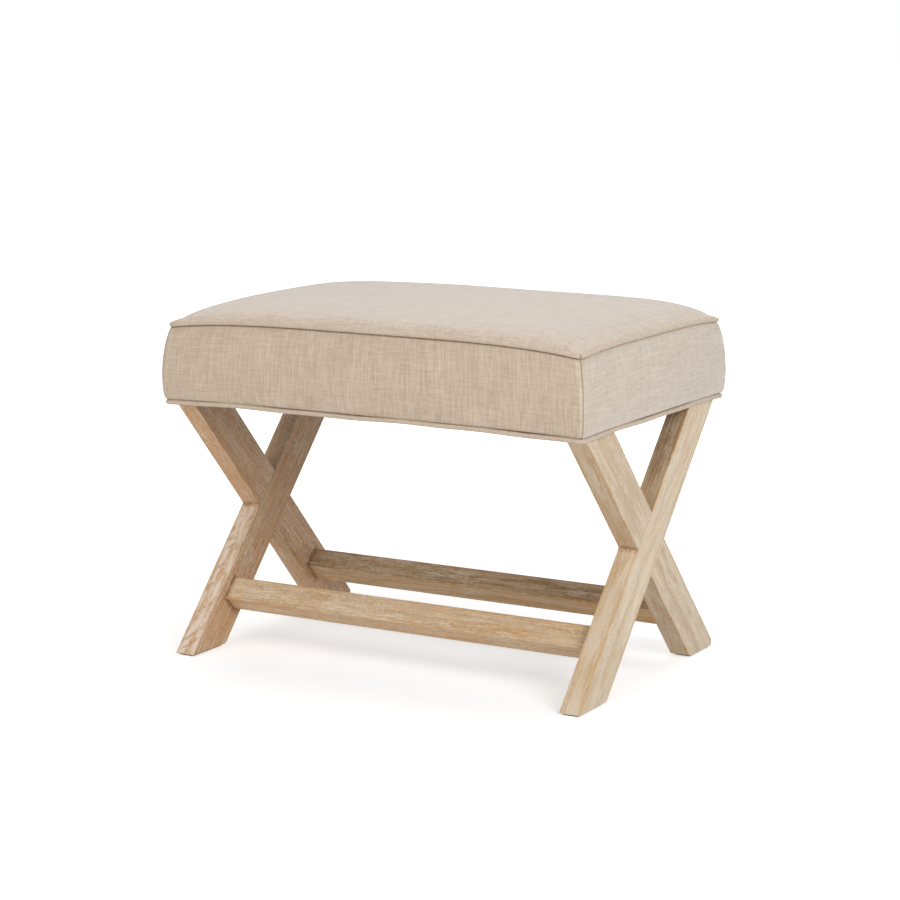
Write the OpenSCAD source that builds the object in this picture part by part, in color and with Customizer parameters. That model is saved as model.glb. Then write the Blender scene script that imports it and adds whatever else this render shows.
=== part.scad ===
// Upholstered bench: a crowned, piped seat on two crossed leg frames that two stretchers join.
// Lengths are in millimetres. X runs along the seat, Y from the front to the back, Z up from
// the floor, and the origin is on the floor under the middle of the seat.

/* [Seat cover] */
// Length of the seat between the middles of the lower piping
seat_l = 640; // [560:1:800]
// Depth of the seat between the middles of the lower piping
seat_d = 430; // [400:1:520]
// Height of the seat frame's underside above the floor
seat_z = 359.5; // [300:0.5:420]
// How far the lower piping hangs below the frame's underside at a corner
corner_drop = 4.5; // [0:0.1:6]
// Height from the middle of the lower piping to the middle of the upper piping, at a corner
boxing_h = 105.7; // [85:0.1:140]
// How far the upper piping lies inside the lower piping
top_draw_in = 4; // [0:0.1:6]
// Height of the crown above its own edge
crown_h = 24.4; // [12:0.1:40]
// Rise of the upper piping in the middle of a long side
top_rise_long = 11.9; // [0:0.1:14]
// Rise of the upper piping in the middle of a short side
top_rise_short = 6.3; // [0:0.1:12]
// Rise of the lower piping in the middle of a long side
base_rise_long = 4.8; // [0:0.1:8]
// Rise of the lower piping in the middle of a short side
base_rise_short = 3.5; // [0:0.1:6]
// How far the boxing swells at a corner seam
corner_swell = 7.4; // [2:0.1:10]
// How much more it swells in the middle of a side
side_swell = 1.8; // [0:0.1:6]
// Corner radius along the lower piping
base_corner_r = 8; // [6:0.5:30]
// Corner radius along the upper piping
top_corner_r = 12; // [8.5:0.5:30]
// Diameter of the piping
piping_d = 6.6; // [4:0.1:9]
// Thickness of the cover fabric
cover_t = 1.2; // [0.8:0.1:2]
// Thickness of the batting wrap
batting_t = 3.2; // [2:0.1:6]
// Thickness of the dust cover
dust_cover_t = 0.8; // [0.5:0.1:1.5]
// Margin of bare rail that the dust cover leaves at the edge
dust_cover_inset = 10; // [6:1:20]

/* [Seat frame] */
// Height of the rails
rail_h = 38; // [28:1:50]
// Thickness of the front and back rails and of the cross rail
rail_t = 22; // [18:1:30]
// Width of the end rails that the legs bolt to
end_rail_w = 60; // [45:1:90]
// Leg length of a triangular corner block
corner_block_w = 46; // [36:1:70]
// Height of a corner block
corner_block_h = 30; // [20:1:36]
// Thickness of the deck panel
deck_t = 9; // [6:0.5:15]

/* [Leg frames] */
// How far the outer face of a leg frame lies inside the middle of the lower piping
leg_inset = 4; // [0:0.5:20]
// Width of a leg, square to its length
leg_w = 59; // [50:1:70]
// Thickness of a leg
leg_t = 29; // [24:1:40]
// How far the outer corner of a leg's top lies inside the middle of the lower piping
leg_top_inset = 16.3; // [10:0.1:30]
// Height of the middle of the crossing
cross_z = 187; // [165:1:205]
// How far the sharp toe of each foot is cut back
toe_cut = 2; // [1:0.5:6]
// How far the blunt heel of each foot is cut back
heel_cut = 4; // [1:0.5:8]
// Depth of a stretcher along the leg that it joins
stretcher_h = 35; // [28:1:45]
// Thickness of a stretcher across that leg
stretcher_t = 31; // [25:1:40]
// Height of the middle of the stretchers
stretcher_z = 71; // [55:1:90]
// Diameter of a stretcher dowel
dowel_d = 8; // [6:0.5:10]
// Length of a stretcher dowel
dowel_l = 38; // [28:1:40]
// Distance between the two dowels in a joint
dowel_pitch = 16; // [13:0.5:18]
// Thickness of a foot pad
pad_t = 2; // [1:0.5:4]
// Bare margin around a foot pad
pad_margin = 2.5; // [1:0.5:6]

/* [Fasteners] */
// Thread diameter of a leg bolt
bolt_d = 6; // [5:0.5:8]
// How far a leg bolt reaches into the leg
bolt_reach = 19.4; // [14:0.1:23]
// Head diameter of a leg bolt
bolt_head_d = 10; // [9:0.5:12]
// Head height of a leg bolt
bolt_head_h = 6; // [4:0.5:7]
// Width across the flats of the key socket in the head
bolt_key_w = 5; // [3:0.5:6]
// Depth of the key socket
bolt_key_depth = 3; // [2:0.5:3.5]
// Outer diameter of a washer
washer_d = 12; // [12:0.5:14]
// Thickness of a washer
washer_t = 1.6; // [1:0.1:2]
// Depth of the pocket that takes the washer and the head
pocket_depth = 9; // [8.5:0.5:12]
// Outer diameter of a threaded insert
insert_d = 9; // [8.5:0.5:11]
// Length of a threaded insert
insert_l = 15; // [10:1:18]
// Distance from the inner face of a leg to its bolts
bolt_inset = 12; // [11:0.5:14]
// How far the middle of a leg's bolts lies inside the middle of its top
bolt_shift = 11.5; // [8:0.5:16]
// Distance between the two bolts of a leg
bolt_pitch = 30; // [20:1:34]
// Shank diameter of the rail screws
rail_screw_d = 4.5; // [3.5:0.5:5]
// Length of the rail screws
rail_screw_l = 60; // [45:1:70]
// Distance between the two screws of a rail joint
rail_screw_pitch = 20; // [12:1:24]
// Shank diameter of the deck screws
deck_screw_d = 4; // [3:0.5:5]
// Length of the deck screws
deck_screw_l = 30; // [20:1:40]
// Width of a staple
staple_w = 10; // [6:0.5:12]
// Wire thickness of a staple
staple_t = 1; // [0.6:0.1:1.2]
// Depth to which a staple is driven
staple_l = 8; // [5:0.5:12]
// Number of staples along each long side
long_staples = 8; // [4:1:12]
// Number of staples along each short side
short_staples = 3; // [2:1:5]

/* [Hidden] */
$fn = 32;

// Signs that pick a side: left or right, front or back
left = -1;
right = 1;
front = -1;
back = 1;

// Clearances
soft_gap = 0.3;
glue_gap = 0.1;
fit_gap = 0.1;
thread_gap = 0.3;
overrun = 1;

// Colours
oak = "#b89b78";
pine = "#d9c29a";
plywood = "#cdb28a";
linen = "#b7a48d";
felt = "#4a3a2e";
steel = "#a9acb0";
brass = "#b59a52";
foam_white = "#efe9c8";
batting_white = "#f4f4f2";
cambric = "#2b2b2d";

// Counts that set how finely the soft forms are drawn
long_steps = 10;
short_steps = 7;
corner_steps = 4;
piping_sides = 8;

// Heights in the seat
piping_r = piping_d / 2;
base_piping_z = seat_z - corner_drop + soft_gap + piping_r;
top_piping_z = base_piping_z + boxing_h;
deck_z = seat_z + rail_h;
foam_z = deck_z + deck_t + soft_gap;

// How deep each layer lies under the outside of the cover
batting_depth = cover_t + soft_gap;
foam_depth = batting_depth + batting_t + soft_gap;
frame_half_l = seat_l / 2 - foam_depth;
frame_half_d = seat_d / 2 - foam_depth;
frame_corner_r = base_corner_r - min(foam_depth, piping_r);

// Shape of the cover: rings of the top from its middle to its edge, and levels of the sides
top_ring_shares = [0.26, 0.52, 0.74, 0.88, 0.95, 0.985, 1];
side_level_shares = [0, 0.12, 0.34, 0.58, 0.82, 1];
edge_power = 4;
crown_long_power = 7.6;
crown_short_power = 3.7;
crown_fullness = 0.375;
swell_power = 0.92;
swell_fullness = 0.7;

// Leg frames. The lean from upright follows from how far out the top of a leg reaches.
leg_rise = seat_z - cross_z;
leg_reach = seat_d / 2 - leg_top_inset;
lean = atan(
    (leg_reach * leg_rise - leg_w / 2 * sqrt(leg_reach ^ 2 + leg_rise ^ 2 - (leg_w / 2) ^ 2))
    / (leg_rise ^ 2 - (leg_w / 2) ^ 2)
);
leg_in_x = seat_l / 2 - leg_inset - leg_t;
leg_half_y = leg_w / 2 / cos(lean);
lap_z = leg_half_y / tan(lean);
stretcher_y = (cross_z - stretcher_z) * tan(lean);
bolt_x = leg_in_x + bolt_inset;
leg_top_y = leg_rise * tan(lean);
bolt_ys = [for (k = [-1, 1]) leg_top_y - bolt_shift + k * bolt_pitch / 2];
bolt_l = rail_h - pocket_depth + washer_t + bolt_reach;
pilot_depth = bolt_reach + overrun;

// Screws
screw_head_share = 2;
screw_point_share = 0.9;
rail_screw_x = frame_half_l - end_rail_w / 2;
deck_screw_shares = [-0.96, -0.5, 0, 0.5, 0.96];

// One side of an outline runs from -1 to 1 with its points closer together near the corners
function side_share(i, steps) = let (t = 2 * i / steps - 1) (sin(90 * t) + t) / 2;

function corner_arc(centre, r, start) = [
    for (i = [0 : corner_steps]) let (a = start + 90 * i / corner_steps)
        centre + r * [cos(a), sin(a)]
];

// Rounded rectangle, counterclockwise from the front right corner
function outline(half_l, half_d, r) =
    let (l = half_l - r, d = half_d - r)
    concat(
        corner_arc([l, -d], r, -90),
        [for (i = [1 : short_steps - 1]) [half_l, d * side_share(i, short_steps)]],
        corner_arc([l, d], r, 0),
        [for (i = [1 : long_steps - 1]) [-l * side_share(i, long_steps), half_d]],
        corner_arc([-l, d], r, 90),
        [for (i = [1 : short_steps - 1]) [-half_l, -d * side_share(i, short_steps)]],
        corner_arc([-l, -d], r, 180),
        [for (i = [1 : long_steps - 1]) [l * side_share(i, long_steps), -half_d]]
    );

ring_count = 4 * (corner_steps + 1) + 2 * (long_steps - 1) + 2 * (short_steps - 1);

// Place of an outline point on the edge of a square that runs from -1 to 1
function on_square(p, half_l, half_d) =
    let (q = [p.x / half_l, p.y / half_d]) q / max(abs(q.x), abs(q.y));

function falloff(t) = 1 - pow(abs(t), edge_power);

function edge_rise(q, long_rise, short_rise) =
    long_rise * falloff(q.x) + short_rise * falloff(q.y)
    - min(long_rise, short_rise) * falloff(q.x) * falloff(q.y);

function crown_rise(q) =
    crown_h * pow((1 - pow(abs(q.x), crown_long_power)) * (1 - pow(abs(q.y), crown_short_power)), crown_fullness);

// Swell of the boxing at a share of its height, fuller near the lower seam
function swell(w) = pow(max(0, sin(180 * pow(w, swell_power))), swell_fullness);

// One ring of the top, at a share of the way from its middle to its edge
function top_ring(share, depth) =
    let (
        inset = top_draw_in + piping_r + soft_gap + depth,
        half_l = seat_l / 2 - inset,
        half_d = seat_d / 2 - inset,
        r = top_corner_r - piping_r - min(depth, piping_r)
    )
    [
        for (p = outline(half_l, half_d, r)) let (q = share * on_square(p, half_l, half_d))
            [share * p.x, share * p.y,
             top_piping_z + edge_rise(q, top_rise_long, top_rise_short) + crown_rise(q) - depth]
    ];

function top_middle(depth) = [0, 0, top_piping_z + edge_rise([0, 0], top_rise_long, top_rise_short) + crown_h - depth];

// One ring of the sides, at a share of the height between the two pipings.
// The margin keeps the ring's ends clear of the piping.
function side_ring(w, depth, margin) =
    let (
        bulge = swell(w),
        half_l = seat_l / 2 - top_draw_in * w + corner_swell * bulge - depth,
        half_d = seat_d / 2 - top_draw_in * w + corner_swell * bulge - depth,
        r = base_corner_r + (top_corner_r - base_corner_r) * w - min(depth, piping_r)
    )
    [
        for (p = outline(half_l, half_d, r))
            let (
                q = on_square(p, half_l, half_d),
                low = base_piping_z + edge_rise(q, base_rise_long, base_rise_short) + margin,
                high = top_piping_z + edge_rise(q, top_rise_long, top_rise_short) - margin
            )
            [p.x + sign(q.x) * side_swell * bulge * (1 - q.y * q.y),
             p.y + sign(q.y) * side_swell * bulge * (1 - q.x * q.x),
             low + (high - low) * w]
    ];

// Middle line of a piping, at share 0 for the lower and 1 for the upper one
function piping_line(w) =
    let (
        half_l = seat_l / 2 - top_draw_in * w,
        half_d = seat_d / 2 - top_draw_in * w,
        r = base_corner_r + (top_corner_r - base_corner_r) * w
    )
    [
        for (p = outline(half_l, half_d, r))
            let (
                q = on_square(p, half_l, half_d),
                low = base_piping_z + edge_rise(q, base_rise_long, base_rise_short),
                high = top_piping_z + edge_rise(q, top_rise_long, top_rise_short)
            )
            [p.x, p.y, low + (high - low) * w]
    ];

// A face with four corners as two triangles, cut from its first to its third corner
function cut_first(a, b, c, d) = [[a, b, c], [a, c, d]];

// The same face, cut from its second to its fourth corner
function cut_second(a, b, c, d) = [[a, b, d], [b, c, d]];

function flatten(lists) = [for (l = lists) each l];

// Closed skin through rings of equal count, ending in one point at each end.
// From the ring number turn on the skin runs back inside itself, and its triangles lie as outside.
module pole_skin(first, rings, last, turn) {
    count = len(rings[0]);
    bottom = len(rings) * count + 1;
    polyhedron(
        points = concat([first], flatten(rings), [last]),
        faces = concat(
            [for (i = [0 : count - 1]) [0, 1 + (i + 1) % count, 1 + i]],
            flatten([
                for (k = [0 : len(rings) - 2], i = [0 : count - 1])
                    let (a = 1 + k * count, b = a + count, j = (i + 1) % count)
                    k < turn
                        ? cut_first(a + i, a + j, b + j, b + i)
                        : cut_second(a + i, a + j, b + j, b + i)
            ]),
            [for (i = [0 : count - 1]) [bottom - count + i, bottom - count + (i + 1) % count, bottom]]
        )
    );
}

// Round cord along a closed line
module cord_loop(line, r, sides) {
    count = len(line);
    polyhedron(
        points = [
            for (i = [0 : count - 1])
                let (
                    ahead = line[(i + 1) % count] - line[(i + count - 1) % count],
                    t = ahead / norm(ahead),
                    n = [t.y, -t.x, 0] / norm([t.x, t.y]),
                    b = cross(t, n)
                )
                for (k = [0 : sides - 1]) let (a = 360 * k / sides)
                    line[i] + r * (cos(a) * n + sin(a) * b)
        ],
        faces = flatten([
            for (i = [0 : count - 1], k = [0 : sides - 1])
                let (a = i * sides, b = (i + 1) % count * sides, j = (k + 1) % sides)
                cut_first(b + k, b + j, a + j, a + k)
        ])
    );
}

// One panel of the boxing between two corner seams, as a closed sheet
module boxing_panel(first, steps) {
    levels = len(side_level_shares);
    columns = steps + corner_steps + 1;
    margin = piping_r + soft_gap;
    outer = [for (w = side_level_shares) side_ring(w, 0, margin)];
    inner = [for (w = side_level_shares) side_ring(w, cover_t, margin)];
    // Column i, counted from the seam in the middle of the first corner, drawn in at each seam
    function place(ring, i) =
        let (
            k = (first + i) % ring_count,
            p = ring[k],
            side = i == 0 ? 1 : i == columns - 1 ? -1 : 0,
            towards = ring[(k + side + ring_count) % ring_count] - p
        )
        side == 0 ? p : p + soft_gap / 2 * towards / norm(towards);
    last = (columns - 1) * levels;
    other = columns * levels;
    polyhedron(
        points = concat(
            [for (i = [0 : columns - 1], w = [0 : levels - 1]) place(outer[w], i)],
            [for (i = [0 : columns - 1], w = [0 : levels - 1]) place(inner[w], i)]
        ),
        faces = concat(
            flatten([
                for (i = [0 : columns - 2], w = [0 : levels - 2])
                    let (a = i * levels + w, b = a + levels)
                    concat(
                        cut_second(a, a + 1, b + 1, b),
                        cut_first(other + b, other + b + 1, other + a + 1, other + a)
                    )
            ]),
            flatten([
                for (i = [0 : columns - 2])
                    let (a = i * levels, b = a + levels, top = levels - 1)
                    concat(
                        cut_first(a, b, other + b, other + a),
                        cut_first(b + top, a + top, other + a + top, other + b + top)
                    )
            ]),
            flatten([
                for (w = [0 : levels - 2])
                    concat(
                        cut_first(w + 1, w, other + w, other + w + 1),
                        cut_first(last + w, last + w + 1, other + last + w + 1, other + last + w)
                    )
            ])
        )
    );
}

// Long axis of a leg in the plane of its frame. The foot is in front or at the back.
function leg_y(z, foot) = foot * (cross_z - z) * tan(lean);

// Outline of a leg, level at the foot and under the seat, with its toe and heel cut back
module leg_outline(foot) {
    toe_y = leg_y(pad_t, foot) + foot * (leg_half_y - toe_cut);
    polygon([
        [toe_y, pad_t],
        [leg_y(pad_t, foot) - foot * (leg_half_y - heel_cut), pad_t],
        [leg_y(pad_t + heel_cut, foot) - foot * leg_half_y, pad_t + heel_cut],
        [leg_y(seat_z, foot) - foot * leg_half_y, seat_z],
        [leg_y(seat_z, foot) + foot * leg_half_y, seat_z],
        [toe_y, pad_t + toe_cut / tan(lean)]
    ]);
}

// Draws a shape given in Y and Z with a thickness along X
module slab(x, thickness) {
    translate([x, 0, 0])
        rotate([90, 0, 90])
            linear_extrude(thickness) children();
}

module leg(side, foot) {
    inner_x = side == right ? leg_in_x : -leg_in_x - leg_t;
    // The leg that stands in front passes whole on the right-hand face of its frame
    notch_x = foot == front ? inner_x - overrun : inner_x + leg_t / 2 - glue_gap / 2;
    color(oak)
    difference() {
        slab(inner_x, leg_t) leg_outline(foot);
        slab(notch_x, leg_t / 2 + overrun + glue_gap / 2)
            polygon([
                for (c = [[-1, -1], [1, -1], [1, 1], [-1, 1]])
                    let (z = cross_z + 2 * c.y * lap_z)
                    [leg_y(z, -foot) + c.x * (leg_half_y + glue_gap), z]
            ]);
        dowel_places(side, foot)
            cylinder(d = dowel_d + fit_gap, h = dowel_l + fit_gap, center = true);
        for (y = bolt_ys)
            translate([side * bolt_x, -foot * y, seat_z]) {
                translate([0, 0, -pilot_depth])
                    cylinder(d = bolt_d + 2 * thread_gap, h = pilot_depth + overrun);
                translate([0, 0, -insert_l - fit_gap])
                    cylinder(d = insert_d + fit_gap, h = insert_l + overrun);
            }
    }
}

// Puts its child on the axis of each dowel of one stretcher end, with Z along X
module dowel_places(side, foot) {
    translate([side * leg_in_x, foot * stretcher_y, stretcher_z])
        rotate([foot * lean, 0, 0])
            for (k = [-1, 1])
                translate([0, 0, k * dowel_pitch / 2])
                    rotate([0, 90, 0]) children();
}

module stretcher(foot) {
    length = 2 * (leg_in_x - glue_gap);
    color(oak)
    difference() {
        translate([0, foot * stretcher_y, stretcher_z])
            rotate([foot * lean, 0, 0])
                cube([length, stretcher_t, stretcher_h], center = true);
        for (side = [left, right])
            dowel_places(side, foot)
                cylinder(d = dowel_d + fit_gap, h = dowel_l + fit_gap, center = true);
    }
}

module stretcher_dowels() {
    color(pine)
    for (side = [left, right], foot = [front, back])
        dowel_places(side, foot)
            cylinder(d = dowel_d, h = dowel_l, center = true);
}

module foot_pad(side, foot) {
    length = 2 * leg_half_y - toe_cut - heel_cut - 2 * pad_margin;
    width = leg_t - 2 * pad_margin;
    middle = leg_y(pad_t, foot) + foot * (heel_cut - toe_cut) / 2;
    color(felt)
    translate([side * (leg_in_x + leg_t / 2) - width / 2, middle - length / 2, 0])
        cube([width, length, pad_t]);
}

// Puts its child at the bolt holes of one end, on the underside of the seat frame
module bolt_places(side) {
    for (foot = [front, back], y = bolt_ys)
        translate([side * bolt_x, foot * y, seat_z]) children();
}

// Countersunk wood screw, with the top of its head at zero and its point down
module screw(d, length) {
    cylinder_h = length * screw_point_share;
    rotate([180, 0, 0]) {
        cylinder(d1 = d * screw_head_share, d2 = d, h = d / 2);
        cylinder(d = d, h = cylinder_h);
        translate([0, 0, cylinder_h])
            cylinder(d1 = d, d2 = d / 4, h = length - cylinder_h);
    }
}

// Hole that a screw passes or bites, a little larger all round
module screw_hole(d, length) {
    rotate([180, 0, 0]) {
        cylinder(d1 = d * screw_head_share + 2 * fit_gap, d2 = d + 2 * fit_gap, h = d / 2);
        translate([0, 0, -overrun])
            cylinder(d = d + 2 * fit_gap, h = length + overrun + fit_gap);
    }
}

// Puts its child at the heads of the screws that join the front and back rails to the end rails
module rail_screw_places() {
    for (side = [left, right], face = [front, back], k = [-1, 1])
        translate([side * rail_screw_x, face * frame_half_d, seat_z + rail_h / 2 + k * rail_screw_pitch / 2])
            rotate([-face * 90, 0, 0]) children();
}

// Puts its child at the heads of the deck screws
module deck_screw_places() {
    for (share = deck_screw_shares, face = [front, back])
        translate([share * (frame_half_l - rail_t / 2), face * (frame_half_d - rail_t / 2), deck_z + deck_t])
            children();
}

// Puts its child at the middle of each staple, on the face of the dust cover, with X along the crown
module staple_places() {
    inset = dust_cover_inset + staple_t;
    for (face = [front, back], i = [0 : long_staples - 1])
        let (t = (i + 1 / 2) / long_staples * 2 - 1)
        translate([t * (leg_in_x - staple_w), face * (frame_half_d - inset), seat_z - dust_cover_t])
            children();
    for (side = [left, right], i = [0 : short_staples - 1])
        let (t = (i + 1 / 2) / short_staples * 2 - 1)
        translate([side * (frame_half_l - inset), t * (leg_top_y - leg_half_y), seat_z - dust_cover_t])
            rotate([0, 0, 90]) children();
}

// The two prongs of a staple, larger by a gap all round
module staple_prongs(gap) {
    for (k = [-1, 1])
        translate([k * (staple_w - staple_t) / 2, 0, (staple_l + gap) / 2 - gap])
            cube([staple_t + 2 * gap, staple_t + 2 * gap, staple_l + gap], center = true);
}

module end_rail(side) {
    half_d = frame_half_d - rail_t - glue_gap;
    color(pine)
    difference() {
        translate([side == right ? frame_half_l - end_rail_w : -frame_half_l, -half_d, seat_z])
            cube([end_rail_w, 2 * half_d, rail_h]);
        bolt_places(side) {
            translate([0, 0, -overrun])
                cylinder(d = bolt_d + 2 * thread_gap, h = rail_h + 2 * overrun);
            translate([0, 0, rail_h - pocket_depth])
                cylinder(d = washer_d + 2 * overrun, h = pocket_depth + overrun);
        }
        rail_screw_places() screw_hole(rail_screw_d, rail_screw_l);
        staple_places() staple_prongs(fit_gap);
    }
}

// Plan of the seat frame, with the corners rounded to follow the cover
module frame_plan() {
    for (x = [left, right], y = [front, back])
        translate([x * (frame_half_l - frame_corner_r), y * (frame_half_d - frame_corner_r)])
            circle(frame_corner_r);
    square([2 * frame_half_l, 2 * (frame_half_d - frame_corner_r)], center = true);
    square([2 * (frame_half_l - frame_corner_r), 2 * frame_half_d], center = true);
}

module long_rail(face) {
    color(pine)
    difference() {
        translate([0, 0, seat_z])
            linear_extrude(rail_h)
                intersection() {
                    frame_plan();
                    translate([0, face * (frame_half_d - rail_t / 2)])
                        square([2 * frame_half_l, rail_t], center = true);
                }
        rail_screw_places() screw_hole(rail_screw_d, rail_screw_l);
        deck_screw_places() screw_hole(deck_screw_d, deck_screw_l);
        staple_places() staple_prongs(fit_gap);
    }
}

module cross_rail() {
    half_d = frame_half_d - rail_t - glue_gap;
    color(pine)
    translate([-rail_t / 2, -half_d, seat_z])
        cube([rail_t, 2 * half_d, rail_h]);
}

module corner_blocks() {
    corner_x = frame_half_l - end_rail_w - glue_gap;
    corner_y = frame_half_d - rail_t - glue_gap;
    color(pine)
    for (side = [left, right], face = [front, back])
        translate([side * corner_x, face * corner_y, deck_z - corner_block_h])
            linear_extrude(corner_block_h - glue_gap)
                polygon([[0, 0], [-side * corner_block_w, 0], [0, -face * corner_block_w]]);
}

module deck_panel() {
    color(plywood)
    difference() {
        translate([0, 0, deck_z])
            linear_extrude(deck_t) frame_plan();
        deck_screw_places() screw_hole(deck_screw_d, deck_screw_l);
    }
}

module leg_bolts() {
    color(steel)
    for (side = [left, right])
        bolt_places(side)
            translate([0, 0, rail_h - pocket_depth + washer_t])
                difference() {
                    union() {
                        cylinder(d = bolt_head_d, h = bolt_head_h);
                        translate([0, 0, -bolt_l])
                            cylinder(d = bolt_d, h = bolt_l + bolt_head_h / 2);
                    }
                    translate([0, 0, bolt_head_h - bolt_key_depth])
                        cylinder(d = bolt_key_w / cos(30), h = bolt_key_depth + overrun, $fn = 6);
                }
}

module leg_washers() {
    color(steel)
    for (side = [left, right])
        bolt_places(side)
            translate([0, 0, rail_h - pocket_depth])
                difference() {
                    cylinder(d = washer_d, h = washer_t);
                    translate([0, 0, -overrun])
                        cylinder(d = bolt_d + thread_gap, h = washer_t + 2 * overrun);
                }
}

module leg_inserts() {
    color(brass)
    for (side = [left, right])
        bolt_places(side)
            translate([0, 0, -insert_l])
                difference() {
                    cylinder(d = insert_d, h = insert_l);
                    translate([0, 0, -overrun])
                        cylinder(d = bolt_d + fit_gap, h = insert_l + 2 * overrun);
                }
}

module rail_screws() {
    color(steel) rail_screw_places() screw(rail_screw_d, rail_screw_l);
}

module deck_screws() {
    color(steel) deck_screw_places() screw(deck_screw_d, deck_screw_l);
}

// Rings of a layer at one depth, from the middle of the top down to the lower piping.
// The topmost side level belongs to the piping alone.
function layer_rings(depth) = concat(
    [for (share = top_ring_shares) top_ring(share, depth)],
    [
        for (i = [len(side_level_shares) - 2 : -1 : 0])
            side_ring(side_level_shares[i], depth, piping_r + soft_gap)
    ]
);

function reversed(list) = [for (i = [len(list) - 1 : -1 : 0]) list[i]];

// Where the straight lines between two rings pass a level height
function ring_between(low, high, z) = [
    for (i = [0 : len(low) - 1]) low[i] + (z - low[i].z) / (high[i].z - low[i].z) * (high[i] - low[i])
];

module foam_core() {
    layer = layer_rings(foam_depth);
    above = [for (ring = layer) if (min([for (p = ring) p.z]) > foam_z) ring];
    foot = ring_between(layer[len(above)], above[len(above) - 1], foam_z);
    color(foam_white)
        pole_skin(top_middle(foam_depth), concat(above, [foot]), [0, 0, foam_z], len(above));
}

module batting() {
    outer = layer_rings(batting_depth);
    inner = layer_rings(batting_depth + batting_t);
    color(batting_white)
        pole_skin(
            top_middle(batting_depth),
            concat(outer, reversed(inner)),
            top_middle(batting_depth + batting_t),
            len(outer)
        );
}

module cover_top() {
    outer = [for (share = top_ring_shares) top_ring(share, 0)];
    inner = [for (share = top_ring_shares) top_ring(share, cover_t)];
    color(linen)
        pole_skin(top_middle(0), concat(outer, reversed(inner)), top_middle(cover_t), len(outer));
}

// The seams of the boxing are in the middle of the corners, in the outline's order
right_seam = corner_steps / 2;
back_seam = right_seam + corner_steps + short_steps;
left_seam = back_seam + corner_steps + long_steps;
front_seam = left_seam + corner_steps + short_steps;

module cover_side(first, steps) {
    color(linen) boxing_panel(first, steps);
}

module piping(w) {
    color(linen) cord_loop(piping_line(w), piping_r, piping_sides);
}

module dust_cover() {
    half_l = frame_half_l - dust_cover_inset / 2;
    half_d = frame_half_d - dust_cover_inset / 2;
    notch_l = frame_half_l - leg_in_x + 2 * soft_gap;
    color(cambric)
    difference() {
        translate([-half_l, -half_d, seat_z - dust_cover_t])
            cube([2 * half_l, 2 * half_d, dust_cover_t - glue_gap]);
        for (side = [left, right], foot = [front, back])
            translate([side * (leg_in_x - soft_gap) - (side == left ? notch_l : 0),
                       leg_y(seat_z, foot) - leg_half_y - soft_gap - overrun, seat_z - dust_cover_t - overrun])
                cube([notch_l, 2 * (leg_half_y + soft_gap + overrun), dust_cover_t + 2 * overrun]);
        staple_places() staple_prongs(fit_gap);
    }
}

module staples() {
    color(steel)
    staple_places() {
        translate([0, 0, -staple_t / 2])
            cube([staple_w, staple_t, staple_t], center = true);
        staple_prongs(0);
    }
}

leg(left, front);  // leg_front_left
leg(left, back);  // leg_back_left
leg(right, front);  // leg_front_right
leg(right, back);  // leg_back_right
stretcher(front);  // stretcher_front
stretcher(back);  // stretcher_back
stretcher_dowels();
foot_pad(left, front);  // foot_pad_front_left
foot_pad(left, back);  // foot_pad_back_left
foot_pad(right, front);  // foot_pad_front_right
foot_pad(right, back);  // foot_pad_back_right
end_rail(left);  // end_rail_left
end_rail(right);  // end_rail_right
long_rail(front);  // front_rail
long_rail(back);  // back_rail
cross_rail();
corner_blocks();
deck_panel();
leg_bolts();
leg_washers();
leg_inserts();
rail_screws();
deck_screws();
foam_core();
batting();
cover_top();
cover_side(front_seam, long_steps);  // cover_front
cover_side(back_seam, long_steps);  // cover_back
cover_side(left_seam, short_steps);  // cover_left
cover_side(right_seam, short_steps);  // cover_right
piping(1);  // piping_top
piping(0);  // piping_bottom
dust_cover();
staples();
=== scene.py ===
"""Upholstered bench on two crossed leg frames: its looks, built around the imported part."""

import math

import bmesh
import bpy
import numpy as np
from mathutils import Matrix, Vector


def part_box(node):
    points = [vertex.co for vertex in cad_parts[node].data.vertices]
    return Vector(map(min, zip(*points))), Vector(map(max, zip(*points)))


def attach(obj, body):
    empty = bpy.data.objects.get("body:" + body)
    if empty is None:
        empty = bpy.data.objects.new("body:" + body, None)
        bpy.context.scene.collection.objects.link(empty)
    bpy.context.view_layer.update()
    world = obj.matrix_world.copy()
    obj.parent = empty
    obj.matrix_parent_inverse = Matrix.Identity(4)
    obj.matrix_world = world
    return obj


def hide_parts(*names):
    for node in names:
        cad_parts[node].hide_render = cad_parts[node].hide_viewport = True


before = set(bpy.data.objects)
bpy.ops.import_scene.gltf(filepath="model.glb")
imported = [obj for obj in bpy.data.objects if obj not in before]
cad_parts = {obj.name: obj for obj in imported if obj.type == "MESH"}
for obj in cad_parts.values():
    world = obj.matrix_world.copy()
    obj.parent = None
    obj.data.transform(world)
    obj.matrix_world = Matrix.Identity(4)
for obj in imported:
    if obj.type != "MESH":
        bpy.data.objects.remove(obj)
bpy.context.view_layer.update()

MM = 0.001

# Camera, fitted to the photograph: place in metres, angles in radians, focal length in pixels
CAMERA_AT = (1.69418, -2.93043, 0.90122)
CAMERA_YAW = 0.52259
CAMERA_PITCH = 0.17975
CAMERA_ROLL = -0.00132
FOCAL_PX = 2477.3
PHOTO_PX = 900
SENSOR_MM = 36

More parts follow.
